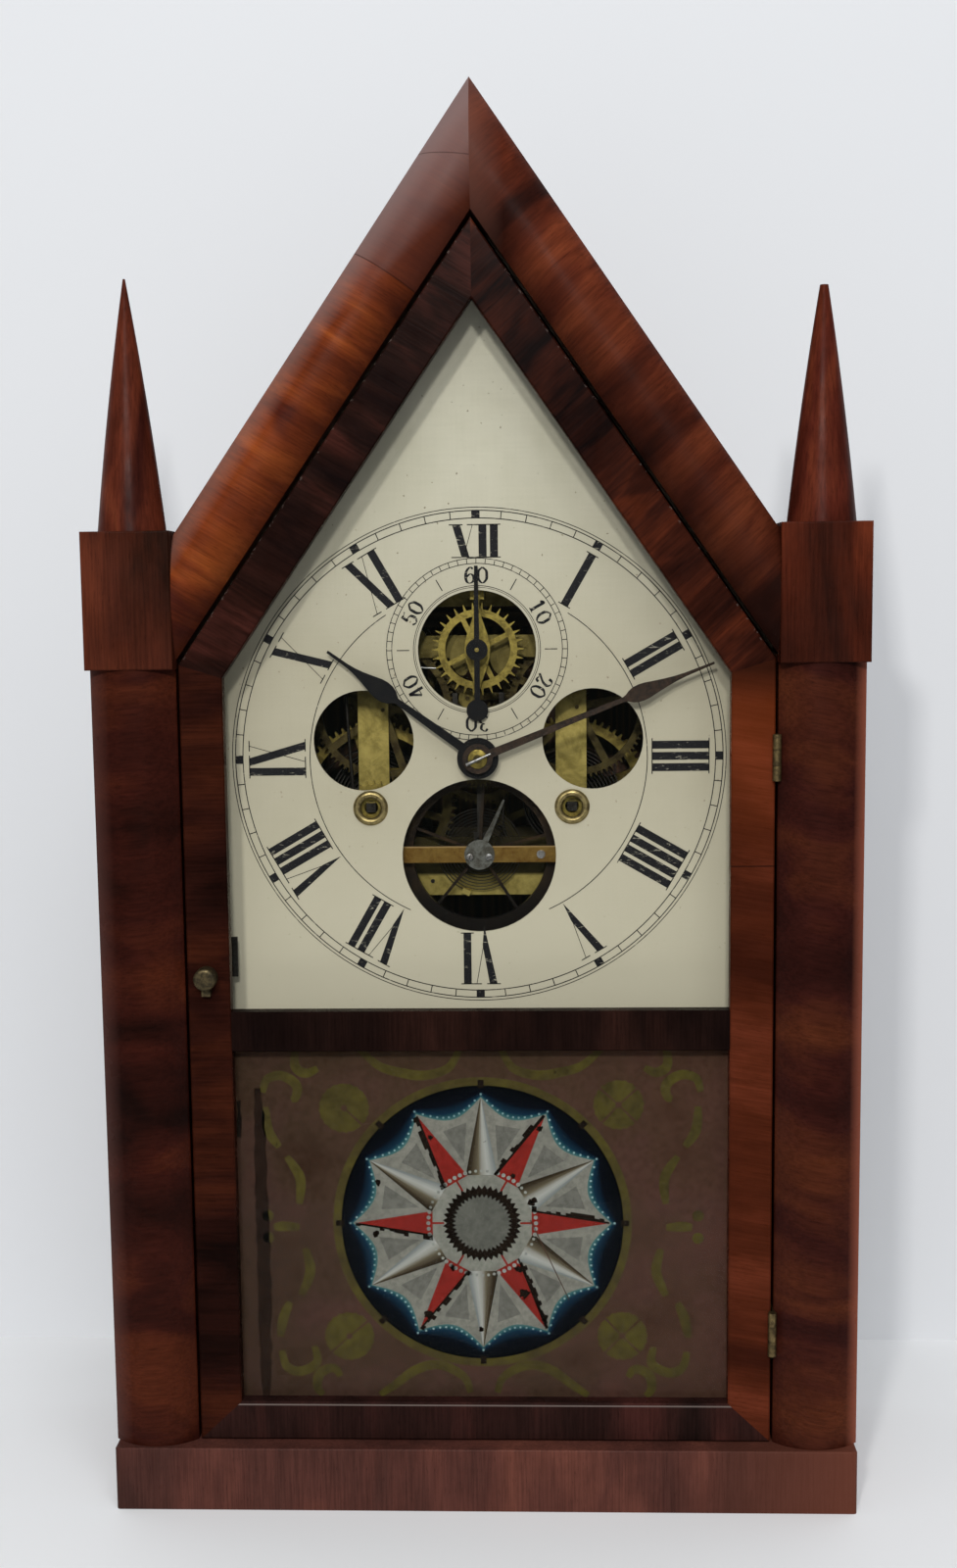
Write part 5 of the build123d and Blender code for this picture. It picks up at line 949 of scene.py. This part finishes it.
ROSETTE_RADIUS = 11.2
ROSETTES = {
    "left_upper": ((-61.5, 181.3), (134,)), "right_upper": ((61.5, 182.6), (48, 136, 222, 312)),
    "left_lower": ((-61.0, 74.7), (50, 228)), "right_lower": ((63.0, 75.2), (46, 135, 225, 317))}
for name, (centre, cuts) in ROSETTES.items():
    outline = [polar(centre, -turned, 0.0, ROSETTE_RADIUS + 0.35 * math.sin(turned * 0.35))
               for turned in range(0, 360, 8)]
    slits = [bar_outline(centre, cut, 0.0, 1.2, 0.0, ROSETTE_RADIUS + 0.2, 1.1, 0.5) for cut in cuts]
    tablet_film(name + "_rosette", [outline], 5, olive_gold)
    tablet_film(name + "_rosette_cuts", slits, 4, maroon)
    tablet_film(name + "_rosette_eye", [disc(centre, 1.5, 30)], 4, maroon)

# %% [markdown]
# A ragged dark strip runs down the left edge of the painting. Its two sides are drawn step by step, each
# point a little off its line by chance.

# %% Dark strip down the left edge
STRIP_FOOT, STRIP_SPAN = low[2] + 1.0, high[2] - low[2] - 24.0
STRIP_STEPS = 48
random.seed(11)
strip_left, strip_right = [], []
for step in range(STRIP_STEPS + 1):
    share = step / STRIP_STEPS
    z = STRIP_FOOT + STRIP_SPAN * share
    swell = math.sin(math.pi * share) ** 0.5
    strip_left.append((-101.4 - 1.2 * swell + random.uniform(-0.4, 0.4), z))
    strip_right.append((-98.9 + 3.0 * swell * (1.0 - 0.3 * share) + random.uniform(-0.6, 0.6), z))
tablet_film("dark_left_strip", chain(strip_right, strip_left), 5,
            tablet_paint("dark_edge_strip", tones("1c130f", "291d17"), 8.0))
FLAKE = ((-110.1, 168.0), (-108.2, 167.6), (-108.0, 172.0), (-107.7, 176.4), (-108.3, 180.2),
         (-107.9, 184.9), (-110.0, 184.6), (-109.4, 179.8), (-110.2, 174.6))
tablet_film("edge_flake", [FLAKE], 5, star_black)

# %% [markdown]
# ## The star medallion
# A gold ring holds a dark blue one that fades to teal in twelve shallow scallops. Inside is a grey field
# with six red points, six white points shaded like cones, rows of beads, and a saw-toothed ring. A colour
# that changes across a stroke reads the film's own map, so it follows the shape.

# %% Medallion
MEDALLION, RIM = (0.0, 128.0), 63.6
POINTS, POINT_STEP = 12, 30.0
TIP, POINT_FOOT = 0.90 * RIM, 0.352 * RIM


def spot(bearing, radius, across=0.0):
    """A point of the medallion."""
    return polar(MEDALLION, bearing, across, radius)


def scallop(bearing):
    """The inner radius of the blue ring: least between two points of the star."""
    off = abs((bearing + POINT_STEP / 2) % POINT_STEP - POINT_STEP / 2) / (POINT_STEP / 2)
    return RIM * (0.915 - 0.135 * (1 - (1 - off) ** 2))


turns = range(0, 361, 3)
tablet_film("gold_medallion_ring", chain([spot(turned, RIM - 0.5) for turned in turns],
                                         [spot(turned, RIM + 3.7) for turned in turns]), 4, olive_gold)
turns = [step * 1.5 for step in range(241)]
sky = chain([spot(turned, scallop(turned)) for turned in turns], [spot(turned, RIM) for turned in turns])
tablet_film("blue_medallion_ring", sky, 2, tablet_paint("navy_to_teal_ring", [
    (0.0, "040507"), (0.50, "070a11"), (0.78, "12293a"), (0.90, "265056"),
    (1.0, "4a6c68")], 8.0, 0.0, True), [(1.0, 1.0, 0.0, 0.0)] * len(sky))
tablet_film("grey_medallion_field", [disc(MEDALLION, 0.95 * RIM, 3)], 3,
            tablet_paint("grey_star_field", tones("6f6f66", "7e7d73"), 20.0))
middles = [(point + 0.5) * POINT_STEP for point in range(POINTS)]
facets = [[spot(middle - 0.5, 0.46 * RIM), spot(middle + 7.0, 0.74 * RIM), spot(middle - 7.0, 0.72 * RIM)]
          for middle in middles]
tablet_film("grey_field_facets", facets, 2,
            tablet_paint("grey_shadow_facets", tones("5d5d56", "686860"), 9.0))

# %% [markdown]
# The star's points are plain triangles. A red one has a ragged black shadow down one side, drawn in short
# pieces of chance width. A white one is split into narrow strips, so that its shading can run across it.

# %% The twelve points
RED_HALF, WHITE_HALF, EDGE_HALF = 0.088 * RIM, 0.112 * RIM, 0.026 * RIM
EDGE_STEPS, STRIPS = 16, 6
random.seed(3)
red_faces, black_faces, cone_faces, cone_across = [], [], [], []
for bearing in (point * POINT_STEP for point in range(1, POINTS, 2)):
    red_faces.append([spot(bearing, POINT_FOOT, -RED_HALF), spot(bearing, POINT_FOOT, RED_HALF),
                      spot(bearing, TIP)])
    for step in range(EDGE_STEPS):
        shares = (step / EDGE_STEPS, (step + 1) / EDGE_STEPS)
        radii = [POINT_FOOT + (TIP - POINT_FOOT) * share for share in shares]
        sides = [-RED_HALF * (1.0 - share) for share in shares]
        thick = EDGE_HALF * random.choice((0.35, 0.7, 1.0, 1.5))
        black_faces.append([spot(bearing, radii[end], sides[end] + out)
                            for end, out in ((0, -thick), (0, 0.3), (1, 0.3), (1, -thick))])
for bearing in (point * POINT_STEP for point in range(0, POINTS, 2)):
    for strip in range(STRIPS):
        first, last = (-WHITE_HALF + 2 * WHITE_HALF * (strip + side) / STRIPS for side in (0, 1))
        cone_faces.append([spot(bearing, POINT_FOOT, first), spot(bearing, POINT_FOOT, last),
                           spot(bearing, TIP, last * 0.05), spot(bearing, TIP, first * 0.05)])
        cone_across.append([(strip + side) / STRIPS for side in (0, 1, 1, 0)])
tablet_film("red_star_points", red_faces, 1, star_red)
tablet_film("black_star_edges", black_faces, 0, star_black)
tablet_film("white_star_points", cone_faces, 1, tablet_paint("shaded_white_points", [
    (0.0, "1b150e"), (0.16, "372f23"), (0.40, "5e5745"), (0.50, "85847a"),
    (0.70, "9fa199"), (1.0, "6d7371")], 8.0, 0.03, True), cone_across)

# %% [markdown]
# Small round beads were dabbed on with a blunt peg, in a row under the points and along each scallop. The
# hub is a pale disc with red lines, and the saw-toothed ring lies on it. All of it is set out by bearing.

# %% Beads, hub and marks
INNER_BEADS, SCALLOP_BEADS = 5, 11
beads = [disc(spot(point * POINT_STEP + (bead - 2) * 6.2, 0.382 * RIM), 0.95 if point % 2 else 0.7, 30)
         for point in range(POINTS) for bead in range(INNER_BEADS)]
tablet_film("inner_beads", beads, 0, tablet_paint("pale_beads", tones("8b8f87", "7c8079"), 5.0))
bearings = [(point + bead / SCALLOP_BEADS) * POINT_STEP
            for point in range(POINTS) for bead in range(SCALLOP_BEADS)]
beads = [disc(spot(bearing, scallop(bearing) + 0.022 * RIM), 0.52, 45) for bearing in bearings]
tablet_film("scallop_beads", beads, 0, tablet_paint("blue_white_beads", tones("84a0a0", "73908f"), 5.0))

SAW_TEETH, SAW_STEP = 40, 9.0
TOOTH = ((0, 0.212), (0.5, 0.186), (1, 0.212), (1, 0.250), (0.5, 0.280), (0, 0.250))
saw_faces = [[spot((tooth + along) * SAW_STEP, share * RIM) for along, share in TOOTH]
             for tooth in range(SAW_TEETH)]
tablet_film("saw_toothed_ring", saw_faces, 0, star_black)
tablet_film("pale_hub_disc", [disc(MEDALLION, POINT_FOOT, 4)], 2,
            tablet_paint("pale_grey_hub", tones("7f8076", "74756b"), 14.0))
tablet_film("grey_centre_disc", [disc(MEDALLION, 0.23 * RIM, 6)], 1,
            tablet_paint("dull_grey_centre", tones("5c5d55", "52534c"), 9.0))
hub_lines = [bar_outline(MEDALLION, POINT_STEP * point, 0.0, 0.27 * RIM, 0.0, POINT_FOOT, 0.9)
             for point in range(1, POINTS, 2)]
tablet_film("red_hub_lines", hub_lines, 1, star_red)
ring_marks = [bar_outline(MEDALLION, 45.0 * mark, 0.0, RIM - 1.2, 0.0, RIM + 2.6, 2.7) for mark in range(8)]
tablet_film("black_ring_marks", ring_marks, 1, star_black)

# %% [markdown]
# Lost flakes are small ragged spots, placed where the old glass shows them. A hair crack runs down to the
# right from beside the hub.

# %% Flaked spots and the crack
LOST_SPOTS = (  # bearing, share of the rim's radius, size
    (31.0, 0.80, 2.2), (150.0, 0.60, 3.2), (148.0, 0.82, 2.4), (210.0, 0.78, 2.6), (264.0, 0.76, 1.9),
    (330.0, 0.72, 1.8), (292.0, 0.79, 1.8), (66.0, 0.39, 2.6), (33.0, 0.41, 2.0), (213.0, 0.39, 1.8),
    (143.0, 0.42, 2.3), (181.0, 0.78, 1.5))
random.seed(7)
lost_faces = []
for bearing, share, size in LOST_SPOTS:
    centre = spot(bearing, share * RIM)
    lost_faces.append([polar(centre, -turned, 0.0, size * random.uniform(0.45, 1.0))
                       for turned in range(0, 360, 24)])
tablet_film("flaked_spots", lost_faces, 0, star_black)
tablet_film("glass_crack", [bar_outline((21.8, 129.4), 155.2, 0.0, 0.0, 0.0, 41.0, 0.35, 0.5)], 0, maroon)

# %% [markdown]
# ## The hands' centre
# The hands are held by a domed brass washer and a tapered steel pin through the arbor. The pin goes in thick
# end first from the lower left. A brass pivot ends the seconds hand.


# %% Washer, taper pin and pivot
def finish_solid(name, material, body, bevel=0.0):
    """Softens a turned or filed piece, puts its place into its mesh, and hands it to its body."""
    piece = bpy.context.object
    bpy.ops.object.transform_apply(location=True, rotation=True, scale=True)
    if bevel:
        edge = piece.modifiers.new("edge", "BEVEL")
        edge.width, edge.segments, edge.limit_method = bevel * MM, 3, "ANGLE"
        bpy.ops.object.modifier_apply(modifier=edge.name)
    bpy.ops.object.shade_smooth_by_angle(angle=math.radians(40))
    return hand_over(piece, name, material, body)


def cylinder(sides, radius, length, spot_in_metres, rotation):
    """A plain cylinder, its radius and length in millimetres."""
    start()
    bpy.ops.mesh.primitive_cylinder_add(vertices=sides, radius=radius * MM, depth=length * MM,
                                        end_fill_type="NGON", location=spot_in_metres, rotation=rotation)


cylinder(48, 4.3, 0.8, place(0.0, 26.55, CENTRE_Z), FACING_FRONT)
finish_solid("hand_washer", escape_brass, "centre", 0.25)

start()
bpy.ops.mesh.primitive_cone_add(vertices=24, radius1=0.95 * MM, radius2=0.45 * MM, depth=12.0 * MM,
                                location=place(0.4, 25.55, CENTRE_Z), rotation=(0.0, math.radians(66), 0.0))
finish_solid("taper_pin", bright_steel, "centre", 0.18)

start()
bpy.ops.mesh.primitive_uv_sphere_add(segments=24, ring_count=12, radius=0.95 * MM,
                                     location=place(0.0, 32.2, SECONDS_Z))
finish_solid("seconds_pivot", ring_brass, "escape")

# %% [markdown]
# ## Small parts behind the dial
# A thin rod lifts the strike, and shows in the left hole. Each winding square passes a brass collar, and two
# screws hold the cap over the balance.


# %% Rod, collars and cap screws
WIRE_DEPTH, COLLAR_DEPTH, CAP_SCREW_Z = 48.0, 38.4, 291.9


def wire(name, first, last, radius, material):
    """A straight round wire on the case between two points (x, z)."""
    first, last = (place(x, WIRE_DEPTH, z) for x, z in (first, last))
    span = last - first
    cylinder(20, radius, span.length / MM, (first + last) / 2, span.to_track_quat("Z", "Y").to_euler())
    return finish_solid(name, material, "case")


wire("strike_lifting_rod", (-60.6, 374.0), (-57.3, 318.0), 0.75, dark_steel)
wire("locking_wire", (-27.4, 376.9), (-18.6, 376.5), 0.45, bright_steel)
for name, node in (("time", "time_winding_arbor"), ("strike", "strike_winding_arbor")):
    low, high = (millimetres(corner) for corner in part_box(node))
    middle = ((low[0] + high[0]) / 2, (low[2] + high[2]) / 2)
    ring(name + "_winding_collar", middle, 5.3, 2.2, escape_brass, COLLAR_DEPTH, 64)

cap_front = millimetres(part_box("regulator")[0])[1]
for name, x, slot_bearing in (("left", -4.3, 20.0), ("right", 4.3, 70.0)):
    cylinder(32, 1.5, 0.7, place(x, cap_front - 0.2, CAP_SCREW_Z), FACING_FRONT)
    finish_solid(name + "_cap_screw", bright_steel, "case", 0.15)
    slit = bar_outline((x, CAP_SCREW_Z), slot_bearing, 0.0, -1.2, 0.0, 1.2, 0.35)
    flat_mesh(name + "_cap_screw_slot", [slit], cap_front - 0.58, PRINT, black_steel, "case")
